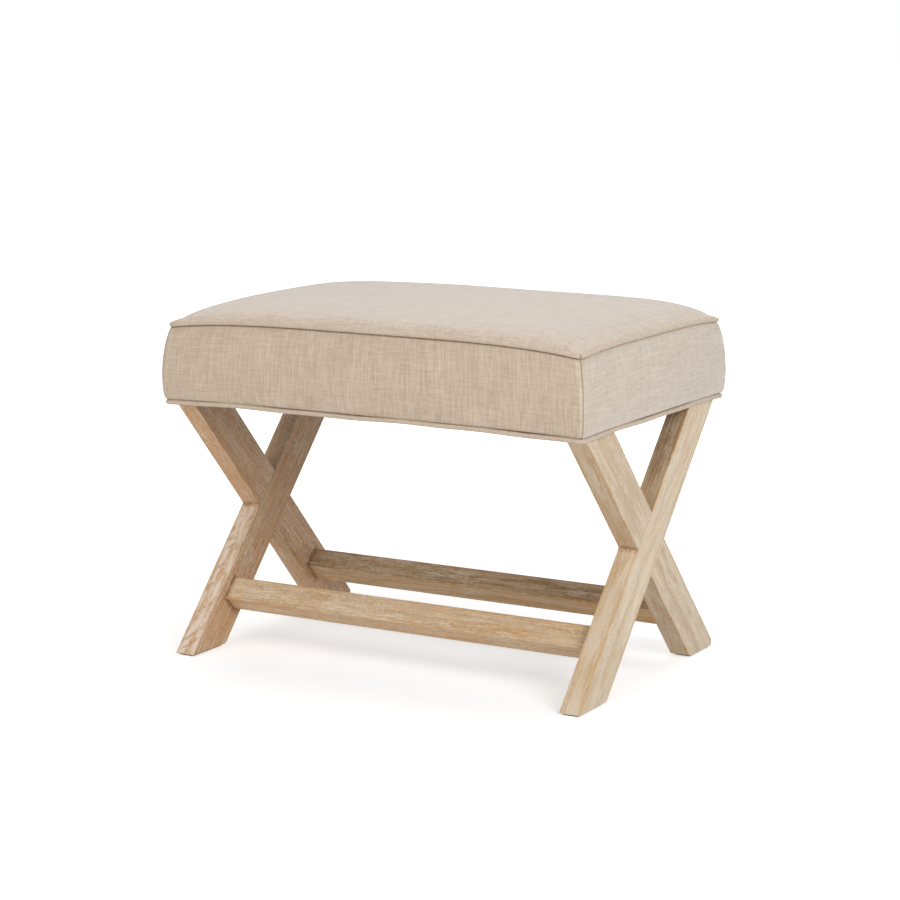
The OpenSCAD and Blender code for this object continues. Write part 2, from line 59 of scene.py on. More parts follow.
# Seat cover
PIPING_R = 3.3 * MM
SOFT_GAP = 0.3 * MM
COVER_T = 1.2 * MM
BATTING_T = 3.2 * MM
TOP_DRAW_IN = 4 * MM
CROWN_H = 24.4 * MM
TOP_RISE = (11.9 * MM, 6.3 * MM)
BASE_RISE = (3.5 * MM, 1.8 * MM)
CORNER_SWELL = 7.4 * MM
SIDE_SWELL = 1.8 * MM
BASE_CORNER_R = 8 * MM
TOP_CORNER_R = 12 * MM
EDGE_POWER = 4
CROWN_POWERS = (7.2, 3.7)
CROWN_FULLNESS = 0.375
SWELL_POWER = 0.92
# How full the sides are below their widest place and above it: smaller is fuller
SWELL_FULLNESS = (0.42, 0.55)
SEAM_MARGIN = PIPING_R + SOFT_GAP
# The top lies this far over the back of its piping, and this far above the piping's middle there
SEAM_TUCK = 1.1 * MM
SEAM_LIFT = 2.2 * MM
SEAM_EASES = (5.5 * MM, 3.5 * MM)

# Leg frames
LEG_W = 59 * MM
LEG_TOP_INSET = 16.3 * MM
CROSS_Z = 187 * MM
# The front toes are cut off this far in, and the back toes
TOE_CUTS = (2 * MM, 8 * MM)
HEEL_R = 11 * MM
GLUE_GAP = 0.1 * MM
EASE = 1.3 * MM
SOLE_EASE = 3.2 * MM
STRETCHER_H = 35 * MM
STRETCHER_T = 31 * MM
STRETCHER_Z = 71 * MM
PAD_CORNER_R = 4 * MM
PAD_EASE = 0.4 * MM
# How far a cutter reaches past what it cuts
OVERRUN = 1 * MM

# Sizes that the frame gives
base_low, base_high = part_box("piping_bottom")
SEAT_HALF_L = base_high.x - PIPING_R
SEAT_HALF_D = base_high.y - PIPING_R
BASE_Z = base_low.z + PIPING_R
TOP_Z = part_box("piping_top")[0].z + PIPING_R
leg_low, leg_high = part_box("leg_front_right")
LEG_IN_X = leg_low.x
LEG_T = leg_high.x - leg_low.x
SEAT_Z = leg_high.z
PAD_T = leg_low.z
DECK_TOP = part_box("deck_panel")[1].z

leg_rise = SEAT_Z - CROSS_Z
leg_reach = SEAT_HALF_D - LEG_TOP_INSET
LEAN = math.atan(
    (leg_reach * leg_rise - LEG_W / 2 * math.sqrt(leg_reach**2 + leg_rise**2 - (LEG_W / 2) ** 2))
    / (leg_rise**2 - (LEG_W / 2) ** 2)
)
LEG_HALF_Y = LEG_W / 2 / math.cos(LEAN)
LAP_Z = LEG_HALF_Y / math.tan(LEAN)
# Distance along a leg from the middle of its stretcher joint to the middle of the crossing
CROSS_ALONG = (CROSS_Z - STRETCHER_Z) / math.cos(LEAN)
FRONT, BACK = -1, 1
LEFT, RIGHT = -1, 1


# Materials

def srgb(red, green, blue):
    """A colour written as 0 to 255 on screen, as the shader's linear value."""
    def linear(c):
        c /= 255
        return c / 12.92 if c <= 0.04045 else ((c + 0.055) / 1.055) ** 2.4
    return (linear(red), linear(green), linear(blue), 1)


# How far below a board's face its own tint starts, and where it is full
FACE_DEPTHS = (0.7 * MM, 0.2 * MM)


class Nodes:
    """The nodes of a new material or world, and short ways to add them."""

    def __init__(self, owner):
        owner.use_nodes = True
        self.owner = owner
        self.nodes = owner.node_tree.nodes
        self.links = owner.node_tree.links
        self.nodes.clear()

    def node(self, kind, inputs, **settings):
        made = self.nodes.new("ShaderNode" + kind)
        for key, value in settings.items():
            setattr(made, key, value)
        for key, value in inputs.items():
            if isinstance(value, bpy.types.NodeSocket):
                self.links.new(value, made.inputs[key])
            else:
                made.inputs[key].default_value = value
        return made

    def attribute(self, name):
        return self.node("Attribute", {}, attribute_name=name).outputs["Vector"]

    def place(self):
        return self.node("TexCoord", {}).outputs["Object"]

    def split(self, vector):
        return self.node("SeparateXYZ", {0: vector}).outputs

    def join(self, x, y, z):
        return self.node("CombineXYZ", {0: x, 1: y, 2: z}).outputs[0]

    def scaled(self, vector, scale):
        return self.node("VectorMath", {0: vector, 1: scale}, operation="MULTIPLY").outputs[0]

    def moved(self, vector, by):
        return self.node("VectorMath", {0: vector, 1: by}, operation="ADD").outputs[0]

    def math(self, operation, a, b=0.0, clamp=False):
        return self.node("Math", {0: a, 1: b}, operation=operation, use_clamp=clamp).outputs[0]

    def times(self, first, *more):
        for value in more:
            first = self.math("MULTIPLY", first, value)
        return first

    def plus(self, a, b, clamp=False):
        return self.math("ADD", a, b, clamp)

    def minus(self, a, b):
        return self.math("SUBTRACT", a, b)

    def larger(self, a, b):
        return self.math("MAXIMUM", a, b)

    def beyond(self, value, limit):
        """How far value lies past limit, on either side of 0."""
        return self.minus(self.math("ABSOLUTE", value), limit)

    def noise(self, vector, scale=1.0, detail=2.0, roughness=0.5, distortion=0.0):
        inputs = {"Vector": vector, "Scale": scale, "Detail": detail,
                  "Roughness": roughness, "Distortion": distortion}
        return self.node("TexNoise", inputs).outputs[0]

    def step(self, value, low, high, to_low=0.0, to_high=1.0):
        """value from low to high, taken smoothly to to_low and to_high."""
        inputs = {"Value": value, "From Min": low, "From Max": high, "To Min": to_low, "To Max": to_high}
        return self.node("MapRange", inputs, interpolation_type="SMOOTHSTEP").outputs[0]

    def at_face(self, place, half):
        """1 on the face that lies half a width from the middle of a board, and 0 inside it."""
        return self.step(place, half - FACE_DEPTHS[0], half - FACE_DEPTHS[1])

    def mix(self, share, a, b):
        return self.node("Mix", {0: share, 6: a, 7: b}, data_type="RGBA").outputs[2]

    def bump(self, height, distance, strength):
        inputs = {"Height": height, "Distance": distance, "Strength": strength}
        return self.node("Bump", inputs).outputs[0]

    def in_view(self):
        """1 for rays from the camera, also by way of gloss or glass, and 0 for light on the object."""
        path = self.node("LightPath", {}).outputs
        return self.larger(self.larger(path["Is Camera Ray"], path["Is Glossy Ray"]),
                           path["Is Transmission Ray"])

    def surface(self, **sockets):
        """The principled surface. A socket's name is written with underscores."""
        inputs = {key.replace("_", " "): value for key, value in sockets.items()}
        made = self.node("BsdfPrincipled", inputs)
        self.node("OutputMaterial", {"Surface": made.outputs[0]})
        return self.owner


def new_material(name):
    return Nodes(bpy.data.materials.new(name))


THREAD_PITCH = 1.05 * MM
# How much lighter and darker than the cloth its single threads are
LIGHT_THREAD = (25, 28, 33)
DARK_THREAD = (27, 31, 37)
# Colour at the seams: painted crease shade with a brown stitch line
SEAM_STITCH_AND_SHADE = (124, 82, 36)


def linen(name, warp, weft, tint=(207, 188, 168), sheen=0.65):
    """Plain-woven slub linen. warp and weft say how strongly the uneven threads show."""
    s = new_material(name)
    across, along, part = s.split(s.attribute("cloth"))
    warp_place = s.math("DIVIDE", across, THREAD_PITCH)
    weft_place = s.math("DIVIDE", along, THREAD_PITCH)
    warp_thread = s.math("FLOOR", warp_place)
    weft_thread = s.math("FLOOR", weft_place)
    base = srgb(*tint)
    light = srgb(*(c + more for c, more in zip(tint, LIGHT_THREAD)))
    dark = srgb(*(c - less for c, less in zip(tint, DARK_THREAD)))

    def threads(thread, run, spread, freq, seed):
        """Noise that differs from thread to thread and changes slowly along each."""
        return s.noise(s.join(s.times(thread, spread), s.times(run, freq), s.plus(part, seed)), detail=1.0)

    def yarn(thread, run, amount, seed, reach):
        """A thread's colour and its thick stretches, which last longer with a larger reach."""
        tone = threads(thread, run, 7.31, 48.0 / reach, seed)
        body = s.mix(s.step(tone, 0.36, 0.64), dark, light)
        body = s.mix(0.62 * amount, base, body)
        slub = s.step(threads(thread, run, 3.77, 34.0 / reach, seed + 5.0), 0.56, 0.64)
        bundle = s.step(threads(thread, run, 0.61, 16.0 / reach, seed + 9.0), 0.54, 0.68)
        slub = s.times(s.plus(s.times(bundle, 0.3), slub, clamp=True), 0.68 * amount)
        return s.mix(slub, body, light), slub

    warp_colour, warp_slub = yarn(warp_thread, along, warp, 1.0, 1.5)
    weft_colour, weft_slub = yarn(weft_thread, across, weft, 31.0, 1.0)
    over = s.math("MODULO", s.math("ABSOLUTE", s.plus(warp_thread, weft_thread)), 2.0)
    # The thicker stretches of a thread show on both sides of the weave
    shown = s.plus(over, s.minus(warp_slub, weft_slub), clamp=True)
    colour = s.mix(shown, weft_colour, warp_colour)
    patch = s.noise(s.attribute("cloth"), scale=22.0, detail=3.0)
    colour = s.mix(s.step(patch, 0.3, 0.7, 0.0, 0.1), colour, dark)
    uneven = s.step(s.noise(s.attribute("cloth"), scale=160.0, detail=1.0), 0.35, 0.6, 0.75, 1.0)
    # Painted crease shade with a brown stitch line at the seams, as the seam attribute gives it
    seam = s.times(s.split(s.attribute("seam"))[0], uneven)
    colour = s.mix(seam, colour, srgb(*SEAM_STITCH_AND_SHADE))

    def crown(place):
        """How high the round thread stands at this place across it."""
        return s.math("ABSOLUTE", s.math("SINE", s.times(place, math.pi)))

    warp_height = s.times(crown(warp_place), s.plus(over, 0.35))
    weft_height = s.times(crown(weft_place), s.minus(1.35, over))
    slubs = s.times(s.plus(warp_slub, weft_slub), 0.8)
    height = s.plus(s.larger(warp_height, weft_height), slubs)
    return s.surface(Base_Color=colour, Roughness=0.92, Normal=s.bump(height, 0.14 * MM, 0.6),
                     Sheen_Weight=sheen, Sheen_Roughness=0.6, Specular_IOR_Level=0.25)


# The oak's marks, as noise: how many to a metre along, across and through the board, how many finer
# layers the noise has and how strong they are
OAK_MARKS = {
    "bands": ((1.6, 52, 40), 2, 0.5),
    "rings": ((2.8, 290, 230), 3, 0.6),
    "fibres": ((24, 470, 430), 3, 0.6),
    "pores": ((36, 450, 420), 2, 0.6),
    "specks": ((190, 440, 410), 1, 0.5),
    "veil": ((9, 60, 50), 4, 0.7),
}
# How far the grain wanders sideways
GRAIN_BEND = 5 * MM
LIME = (236, 224, 204)
WASH = (240, 222, 206)
# Colour of the painted shade from the seat on the legs' upper narrow faces
PAINTED_SEAT_SHADE = (158, 124, 90)
BAND_SHADE = (170, 122, 90)
STAIN = (137, 91, 44)
# Painted light from the floor's bounce: how much paler than the rest the stretchers' faces are that look
# down to the front
BAR_PAINTED_BOUNCE = {FRONT: (1.15, 1.13, 1.11), BACK: (1.44, 1.43, 1.36)}


def bar_faces(s, colour, place, bar):
    """A stretcher's colour, with painted bounce light that makes the face which looks down to the front
    paler.
    """
    _, across, depth = place
    under = s.times(across if bar == FRONT else depth, -1.0)
    half = (STRETCHER_H if bar == FRONT else STRETCHER_T) / 2
    return s.mix(s.at_face(under, half), colour, s.scaled(colour, BAR_PAINTED_BOUNCE[bar]))


def leg_faces(s, colour, place, narrow, grain, rings, worn):
    """A leg's colour with that of its narrow faces and painted shade from the seat, and how much of the
    wash shows.
    """
    along, across, depth = place
    # Painted shade from the seat above: the faces that look up at the seat are darker towards it, and less
    # of the wash shows there
    seat_shade = s.times(s.step(along, CROSS_ALONG, CROSS_ALONG + 120 * MM), s.at_face(across, LEG_W / 2),
                    s.step(rings, 0.3, 0.6, 0.6, 1.0))
    colour = s.mix(seat_shade, colour, srgb(*PAINTED_SEAT_SHADE))
    # The narrow faces of the foot are washed in broad patches, with darker bands across them
    lower = s.times(s.step(along, CROSS_ALONG - 30 * MM, CROSS_ALONG - 4 * MM, 1.0, 0.0), narrow, worn)
    washed = s.step(s.noise(s.scaled(grain, (30, 130, 130)), detail=4.0, roughness=0.7), 0.38, 0.6)
    slant = s.join(s.times(s.plus(along, depth), 55.0), s.times(s.minus(along, depth), 12.0), 0.0)
    band = s.step(s.noise(slant, detail=3.0, roughness=0.6), 0.54, 0.59, 0.0, 0.65)
    colour = s.mix(s.times(washed, lower), colour, srgb(*WASH))
    colour = s.mix(s.times(band, lower), colour, srgb(*BAND_SHADE))
    return colour, s.minus(1.0, s.times(seat_shade, 0.7))


def leg_joints(s, place, narrow):
    """Where stain stays at a leg's lap and round its stretcher, and 1 outside the lap."""
    along, across, depth = place
    turn = 2 * LEAN
    over = s.minus(s.times(across, math.cos(turn)), s.times(s.minus(along, CROSS_ALONG), math.sin(turn)))
    past = s.beyond(over, LEG_W / 2)
    lap = s.times(s.step(s.math("ABSOLUTE", past), 0.5 * MM, 9 * MM, 0.7, 0.0), narrow)
    beside = s.larger(s.beyond(along, STRETCHER_H / 2), s.beyond(across, STRETCHER_T / 2))
    inner = s.at_face(s.times(depth, -1.0), LEG_T / 2)
    butt = s.times(s.step(beside, 0.3 * MM, 7 * MM, 0.75, 0.0), inner)
    return s.larger(lap, butt), s.step(past, -1 * MM, 1 * MM)


def oak(name, tone, amber, shade, edge, lime=0.5, wash=0.3, worn=0.0, bar=0):
    """Limed oak. tone is the wood, amber its warm bands, shade its dark streaks and edge its rubbed
    arrises, lime how much white stays in the pores, wash how much lies on top, and worn how strongly
    the foot's narrow faces are washed. bar is FRONT or BACK for a stretcher and 0 for a leg."""
    s = new_material(name)
    grain = s.attribute("grain")
    place = s.split(s.attribute("board"))
    along, across, depth = place
    wood, warm, dark, ochre, white = (srgb(*c) for c in (tone, amber, shade, edge, LIME))
    bend = s.times(s.minus(s.noise(s.scaled(grain, (3, 9, 9)), detail=1.0), 0.5), GRAIN_BEND)
    bent = s.moved(grain, s.join(0.0, bend, bend))
    bands, rings, fibres, pores, specks, veil = (
        s.noise(s.scaled(bent, scale), detail=layers, roughness=strength)
        for scale, layers, strength in OAK_MARKS.values())

    colour = s.mix(s.step(bands, 0.36, 0.64, 0.0, 0.9), wood, warm)
    colour = s.mix(s.step(rings, 0.46, 0.68, 0.0, 0.45), colour, dark)
    colour = s.mix(s.step(fibres, 0.42, 0.64, 0.0, 0.5), colour, dark)
    colour = s.mix(s.step(specks, 0.36, 0.44, 0.5 * lime, 0.0), colour, dark)
    if bar:
        width, thickness = STRETCHER_H, STRETCHER_T
        colour, whiter = bar_faces(s, colour, place, bar), 1.0
        joint = s.step(s.beyond(along, LEG_IN_X - GLUE_GAP), -6 * MM, -0.3 * MM, 0.0, 0.75)
        outside = 1.0
    else:
        width, thickness = LEG_W, LEG_T
        narrow = s.at_face(s.math("ABSOLUTE", across), width / 2)
        colour = s.mix(s.times(narrow, 0.5), colour, ochre)
        colour, whiter = leg_faces(s, colour, place, narrow, grain, rings, worn)
        joint, outside = leg_joints(s, place, narrow)

    # Lime lies on the wood as a thin veil, and fills its lines and pores in some places
    colour = s.mix(s.times(s.step(veil, 0.40, 0.66, 0.0, wash), whiter), colour, white)
    lines = s.step(rings, 0.30, 0.42, 0.5 * lime, 0.0)
    limed = s.larger(s.step(pores, 0.56, 0.61, 0.0, lime), s.step(specks, 0.57, 0.63, 0.0, 0.6 * lime))
    patches = s.step(s.noise(s.scaled(grain, (11, 34, 34)), detail=2.0), 0.36, 0.62, 0.3, 1.0)
    colour = s.mix(s.times(s.larger(lines, limed), patches), colour, white)

    # It is rubbed off along the arrises, and sits in their chips
    arris = s.math("MINIMUM", s.beyond(across, width / 2), s.beyond(depth, thickness / 2))
    rubbing = s.step(s.noise(s.scaled(grain, (15, 55, 55)), detail=2.0), 0.36, 0.6, 0.1, 0.6)
    chipping = s.step(s.noise(s.scaled(grain, (45, 160, 160)), detail=2.0), 0.42, 0.5, 0.6, 0.0)
    rubbed = s.times(s.step(arris, -5 * MM, -0.8 * MM), rubbing, outside)
    chipped = s.times(s.step(arris, -1.4 * MM, -0.6 * MM), chipping, outside)
    colour = s.mix(rubbed, colour, ochre)
    colour = s.mix(chipped, colour, white)
    blotch = s.step(s.noise(s.scaled(grain, (110, 240, 240)), detail=2.0), 0.28, 0.62, 0.15, 0.9)
    colour = s.mix(s.times(joint, blotch), colour, srgb(*STAIN))

    height = s.minus(s.times(fibres, 0.6), s.times(limed, 0.35))
    return s.surface(Base_Color=colour, Roughness=s.step(pores, 0.4, 0.7, 0.52, 0.72),
                     Normal=s.bump(height, 0.25 * MM, 0.6), Specular_IOR_Level=0.4)


def softwood(name, tone, shade):
    """Plain sawn softwood of the hidden frame, its grain along X or Y."""
    s = new_material(name)
    rings = s.noise(s.scaled(s.place(), (12, 12, 210)), detail=3.0, roughness=0.6, distortion=0.4)
    fibres = s.noise(s.scaled(s.place(), (160, 160, 900)), detail=2.0)
    colour = s.mix(s.step(rings, 0.4, 0.62), srgb(*tone), srgb(*shade))
    colour = s.mix(s.step(fibres, 0.3, 0.7, 0.0, 0.25), colour, srgb(*shade))
    return s.surface(Base_Color=colour, Roughness=0.7, Normal=s.bump(fibres, 0.2 * MM, 0.4))


def layered_wood(name):
    """Plywood: long grain on its faces and thin layers at its edges."""
    s = new_material(name)
    ply = 1.8 * MM
    layer = s.math("FLOOR", s.math("DIVIDE", s.split(s.place())[2], ply))
    turn = s.math("MODULO", layer, 2.0)
    grain = s.noise(s.scaled(s.place(), (14, 130, 60)), detail=3.0, roughness=0.6)
    colour = s.mix(s.step(grain, 0.35, 0.65), srgb(214, 188, 146), srgb(190, 160, 118))
    colour = s.mix(s.times(turn, 0.35), colour, srgb(150, 118, 82))
    return s.surface(Base_Color=colour, Roughness=0.68, Normal=s.bump(grain, 0.2 * MM, 0.4))


def metal(name, tone, rough):
    """Plated metal with fine drawn marks."""
    s = new_material(name)
    marks = s.noise(s.scaled(s.place(), (900, 900, 2400)), detail=2.0)
    colour = s.mix(s.step(marks, 0.3, 0.7, 0.0, 0.3), srgb(*tone), srgb(*(c - 45 for c in tone)))
    roughness = s.step(marks, 0.3, 0.7, rough, rough + 0.15)
    return s.surface(Base_Color=colour, Metallic=1.0, Roughness=roughness)


def fibrous(name, tone, shade, scale, depth):
    """Felt, batting or foam: a soft mass of fine fibres or cells."""
    s = new_material(name)
    fine = s.noise(s.place(), scale=scale, detail=4.0, roughness=0.7)
    broad = s.noise(s.place(), scale=scale / 12, detail=2.0)
    colour = s.mix(s.step(fine, 0.3, 0.7), srgb(*shade), srgb(*tone))
    colour = s.mix(s.step(broad, 0.3, 0.7, 0.0, 0.3), colour, srgb(*shade))
    return s.surface(Base_Color=colour, Roughness=0.95, Normal=s.bump(fine, depth, 0.7))


def nonwoven(name):
    """Black dust cloth with its fine pressed dots."""
    s = new_material(name)
    dots = s.node("TexVoronoi", {"Vector": s.place(), "Scale": 620.0, "Randomness": 0.25}).outputs[0]
    fleck = s.noise(s.place(), scale=900.0, detail=3.0)
    colour = s.mix(s.step(fleck, 0.3, 0.75), srgb(34, 34, 36), srgb(58, 58, 61))
    colour = s.mix(s.step(dots, 0.15, 0.35, 0.5, 0.0), colour, srgb(22, 22, 24))
    return s.surface(Base_Color=colour, Roughness=0.9, Normal=s.bump(dots, 0.12 * MM, 0.5))


# Meshes

def placed(name, data):
    """A new object in the scene."""
    made = bpy.data.objects.new(name, data)
    bpy.context.scene.collection.objects.link(made)
    return made


def solid(name, work):
    """A new object from a bmesh, which is then freed."""
    mesh = bpy.data.meshes.new(name)
    work.to_mesh(mesh)
    work.free()
    return placed(name, mesh)


def store(mesh, key, values):
    """Keeps a vector at each point of a mesh for its material, or one number in all three places."""
    values = np.asarray(values, np.float32).reshape(len(mesh.vertices), -1)
    layer = mesh.attributes.new(key, "FLOAT_VECTOR", "POINT")
    layer.data.foreach_set("vector", np.broadcast_to(values, (len(values), 3)).ravel())


def smooth(mesh):
    mesh.polygons.foreach_set("use_smooth", [True] * len(mesh.polygons))


def piece(name, points, faces, material, slot, node=None, **attributes):
    """A new mesh object that rides with the frame, and stands for a node if one is named."""
    mesh = bpy.data.meshes.new(name)
    mesh.from_pydata(np.reshape(points, (-1, 3)).tolist(), [], faces)
    for key, values in attributes.items():
        store(mesh, key, values)
    smooth(mesh)
    mesh.materials.append(material)
    mesh.validate()
    made = placed(name, mesh)
    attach(made, "root")
    if node:
        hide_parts(node)
    return made


def grid_faces(rows, columns, closed=False):
    """Faces of a grid of points kept row by row. A closed grid joins its last column to its first."""
    last = columns if closed else columns - 1
    faces = []
    for r in range(rows - 1):
        for c in range(last):
            a, b = r * columns + c, r * columns + (c + 1) % columns
            faces.append((a, b, b + columns, a + columns))
    return faces


def thicken(made, thickness):
    """Gives a sheet its thickness, inwards from its outer face."""
    modifier = made.modifiers.new("thickness", "SOLIDIFY")
    modifier.thickness = thickness
    modifier.offset = -1


def value_noise(x, y, seed):
    """Smooth noise from -1 to 1 that changes over about one unit."""
    size = 64
    lattice = np.random.default_rng(seed).random((size, size)) * 2 - 1
    x0, y0 = np.floor(x).astype(int), np.floor(y).astype(int)
    fx, fy = x - x0, y - y0
    fx, fy = fx * fx * (3 - 2 * fx), fy * fy * (3 - 2 * fy)
    a = lattice[x0 % size, y0 % size] * (1 - fx) + lattice[(x0 + 1) % size, y0 % size] * fx
    b = lattice[x0 % size, (y0 + 1) % size] * (1 - fx) + lattice[(x0 + 1) % size, (y0 + 1) % size] * fx
    return a * (1 - fy) + b * fy


# The seat's shape

def falloff(t):
    """1 in the middle of a side and 0 at its ends, which are at -1 and 1."""
    return 1 - np.abs(t) ** EDGE_POWER


def edge_rise(qx, qy, rises):
    """How far a seam, or the top within it, rises above its corners by the bow of its sides."""
    along, across = falloff(qx), falloff(qy)
    return rises[0] * along + rises[1] * across - min(rises) * along * across


def crown_rise(qx, qy):
    """How far the crown rises above its seam, for a place on the square from -1 to 1."""
    x_share = np.clip(1 - np.abs(qx) ** CROWN_POWERS[0], 0, 1)
    y_share = np.clip(1 - np.abs(qy) ** CROWN_POWERS[1], 0, 1)
    return CROWN_H * (x_share * y_share) ** CROWN_FULLNESS


def swell(w):
    """How far the sides stand out at share w of their height, as a share of the most."""
    share = np.clip(w, 0, 1) ** SWELL_POWER
    fullness = np.where(share < 0.5, *SWELL_FULLNESS)
    return np.clip(np.sin(np.pi * share), 0, 1) ** fullness


def half_sizes(w, depth):
    """Half length, half depth and corner radius of the plan at share w of the boxing's height."""
    inset = TOP_DRAW_IN * w - CORNER_SWELL * swell(w) + depth
    corner = BASE_CORNER_R + (TOP_CORNER_R - BASE_CORNER_R) * w - np.minimum(depth, PIPING_R)
    return SEAT_HALF_L - inset, SEAT_HALF_D - inset, corner


def side_point(cx, cy, angle, w, depth=0.0, lift=0.0, margin=SEAM_MARGIN):
    """A point of the boxing. cx, cy and angle place it on the plan, w is its share of the height."""
    half_l, half_d, corner = half_sizes(w, depth)
    x = cx * (half_l - corner) + corner * np.cos(angle)
    y = cy * (half_d - corner) + corner * np.sin(angle)
    qx, qy = x / half_l, y / half_d
    most = np.maximum(np.abs(qx), np.abs(qy))
    qx, qy = qx / most, qy / most
    low = BASE_Z + edge_rise(qx, qy, BASE_RISE) + margin
    high = TOP_Z + edge_rise(qx, qy, TOP_RISE) - margin
    more = SIDE_SWELL * swell(w)
    x = x + np.sign(qx) * more * (1 - qy * qy)
    y = y + np.sign(qy) * more * (1 - qx * qx)
    return np.stack([x, y, low + (high - low) * w + lift], -1)


def top_point(tx, ty, depth=0.0):
    """A point of the top, for a place on the square from -1 to 1."""
    inset = TOP_DRAW_IN + SEAM_MARGIN - SEAM_TUCK + depth
    half_l, half_d = SEAT_HALF_L - inset, SEAT_HALF_D - inset
    corner = TOP_CORNER_R - PIPING_R - min(depth, PIPING_R)
    share = np.maximum(np.maximum(np.abs(tx), np.abs(ty)), 1e-9)
    dx, dy = half_l * tx / share, half_d * ty / share
    cx, cy = half_l - corner, half_d - corner
    along = np.abs(dx) * cx + np.abs(dy) * cy
    square = np.maximum(dx * dx + dy * dy, 1e-12)
    root = np.sqrt(np.maximum(along**2 - square * (cx * cx + cy * cy - corner**2), 0))
    reach = np.where((np.abs(dx) > cx) & (np.abs(dy) > cy), (along + root) / square, 1.0)
    # The crown starts gently beside the seam
    ease = 1 - np.exp((np.abs(tx) - 1) * half_l / SEAM_EASES[0])
    ease = ease * (1 - np.exp((np.abs(ty) - 1) * half_d / SEAM_EASES[1]))
    crown = np.maximum(crown_rise(tx, ty) - SEAM_LIFT, 0) * ease
    height = TOP_Z + edge_rise(tx, ty, TOP_RISE) + SEAM_LIFT + crown - depth
    return np.stack([share * reach * dx, share * reach * dy, height], -1)


# How the cover lies

def outward(points):
    """Unit normals of a grid of points."""
    normal = np.cross(np.gradient(points, axis=1), np.gradient(points, axis=0))
    return normal / np.linalg.norm(normal, axis=-1, keepdims=True)


def cells_from_edge(rows, columns):
    """How many cells each point of a grid lies from the grid's nearest edge."""
    row, column = np.mgrid[0:rows, 0:columns]
    return np.minimum(np.minimum(row, rows - 1 - row), np.minimum(column, columns - 1 - column))


def blurred(values, reach):
    """Values of a grid, each averaged softly with its neighbours within about reach cells."""
    steps = np.arange(-3 * reach, 3 * reach + 1)
    weights = np.exp(-0.5 * (steps / reach) ** 2)
    weights /= weights.sum()
    for axis in (0, 1):
        pad = [(0, 0), (0, 0)]
        pad[axis] = (3 * reach, 3 * reach)
        padded = np.pad(values, pad, mode="edge")
        values = np.apply_along_axis(np.convolve, axis, padded, weights, "valid")
    return values


def cloth_relief(points, seed):
    """How far a cloth rises from the grid of points that its padding holds it to. It is sewn in at
    its edges, and it is a little too long beside the seams, so that it puckers there."""
    rows, columns = points.shape[:2]
    row, column = np.mgrid[0:rows, 0:columns]
    from_seam = cells_from_edge(rows, columns)
    rough = value_noise(column / 2.3, row / 2.3, seed) * np.clip(from_seam, 0, 1)
    start = points + outward(points) * (rough * CLOTH_START)[..., None]
    mesh = bpy.data.meshes.new("cloth")
    mesh.from_pydata(start.reshape(-1, 3).tolist(), [], grid_faces(rows, columns))
    made = placed("cloth", mesh)

    uneven = 0.55 + 0.45 * value_noise(column / 9.1, row / 9.1, seed + 1)
    beside = np.exp(-from_seam / CLOTH_PUCKER)
    held = made.vertex_groups.new(name="held")
    slack = made.vertex_groups.new(name="slack")
    for k, (distance, near, share) in enumerate(zip(from_seam.ravel(), beside.ravel(), uneven.ravel())):
        held.add([k], 1.0 if distance == 0 else CLOTH_HOLD * (1 - near), "REPLACE")
        slack.add([k], 1 - near * share, "REPLACE")

    cloth = made.modifiers.new("cloth", "CLOTH")
    rules = cloth.settings
    rules.quality = 5
    rules.mass = 0.25
    rules.tension_stiffness = rules.compression_stiffness = CLOTH_STIFFNESS
    rules.shear_stiffness = CLOTH_STIFFNESS / 3
    rules.bending_stiffness = CLOTH_BENDING
    rules.vertex_group_mass = "held"
    rules.vertex_group_shrink = "slack"
    # Weight 0 is the full excess, weight 1 none
    rules.shrink_min = -CLOTH_EXCESS
    rules.shrink_max = 0.0
    rules.pin_stiffness = CLOTH_GRIP
    rules.effector_weights.gravity = 0.0
    cloth.collision_settings.use_collision = False
    cloth.collision_settings.use_self_collision = False
    cloth.point_cache.frame_start = 1
    cloth.point_cache.frame_end = CLOTH_FRAMES
    for number in range(1, CLOTH_FRAMES + 1):
        bpy.context.scene.frame_set(number)
    seen = made.evaluated_get(bpy.context.evaluated_depsgraph_get()).to_mesh()
    after = np.empty(rows * columns * 3, np.float32)
    seen.vertices.foreach_get("co", after)
    bpy.context.scene.frame_set(1)
    bpy.data.objects.remove(made)

    rise = ((after.reshape(rows, columns, 3) - points) * outward(points)).sum(-1)
    rise = (rise - blurred(rise, 8)) * np.clip(from_seam / 2, 0, 1)
    return np.clip(blurred(rise, 1), -CLOTH_MOST, CLOTH_MOST)


def relief(name, points, u, v, seed):
    """A panel's puckers, ripples and broad unevenness, as a rise from its grid of points."""
    rise = cloth_relief(points, seed)
    rows, columns = rise.shape
    row, column = np.mgrid[0:rows, 0:columns]
    inside = np.clip(np.minimum(row, rows - 1 - row) / 6, 0, 1)
    inside *= np.clip(np.minimum(column, columns - 1 - column) / 6, 0, 1)
    rise += LUMPS[0] * inside * value_noise(u / LUMPS[1] + 20, v / LUMPS[2] + 20, seed + 2)
    for at_u, at_v, turn, wave, height, reach_u, reach_v in RIPPLES.get(name, ()):
        du, dv = u - at_u, v - at_v
        turn = math.radians(turn)
        along = du * math.cos(turn) + dv * math.sin(turn)
        along = along + 0.25 * wave * value_noise(u / wave / 2 + 40, v / wave / 2 + 40, seed + 3)
        near = np.exp(-((du / reach_u) ** 2) - (dv / reach_v) ** 2)
        rise += height * near * np.cos(2 * np.pi * along / wave) * np.clip(inside * 4, 0, 1)
    return outward(points) * rise[..., None]


CORNERS = [(-1, -1), (1, -1), (1, 1), (-1, 1)]


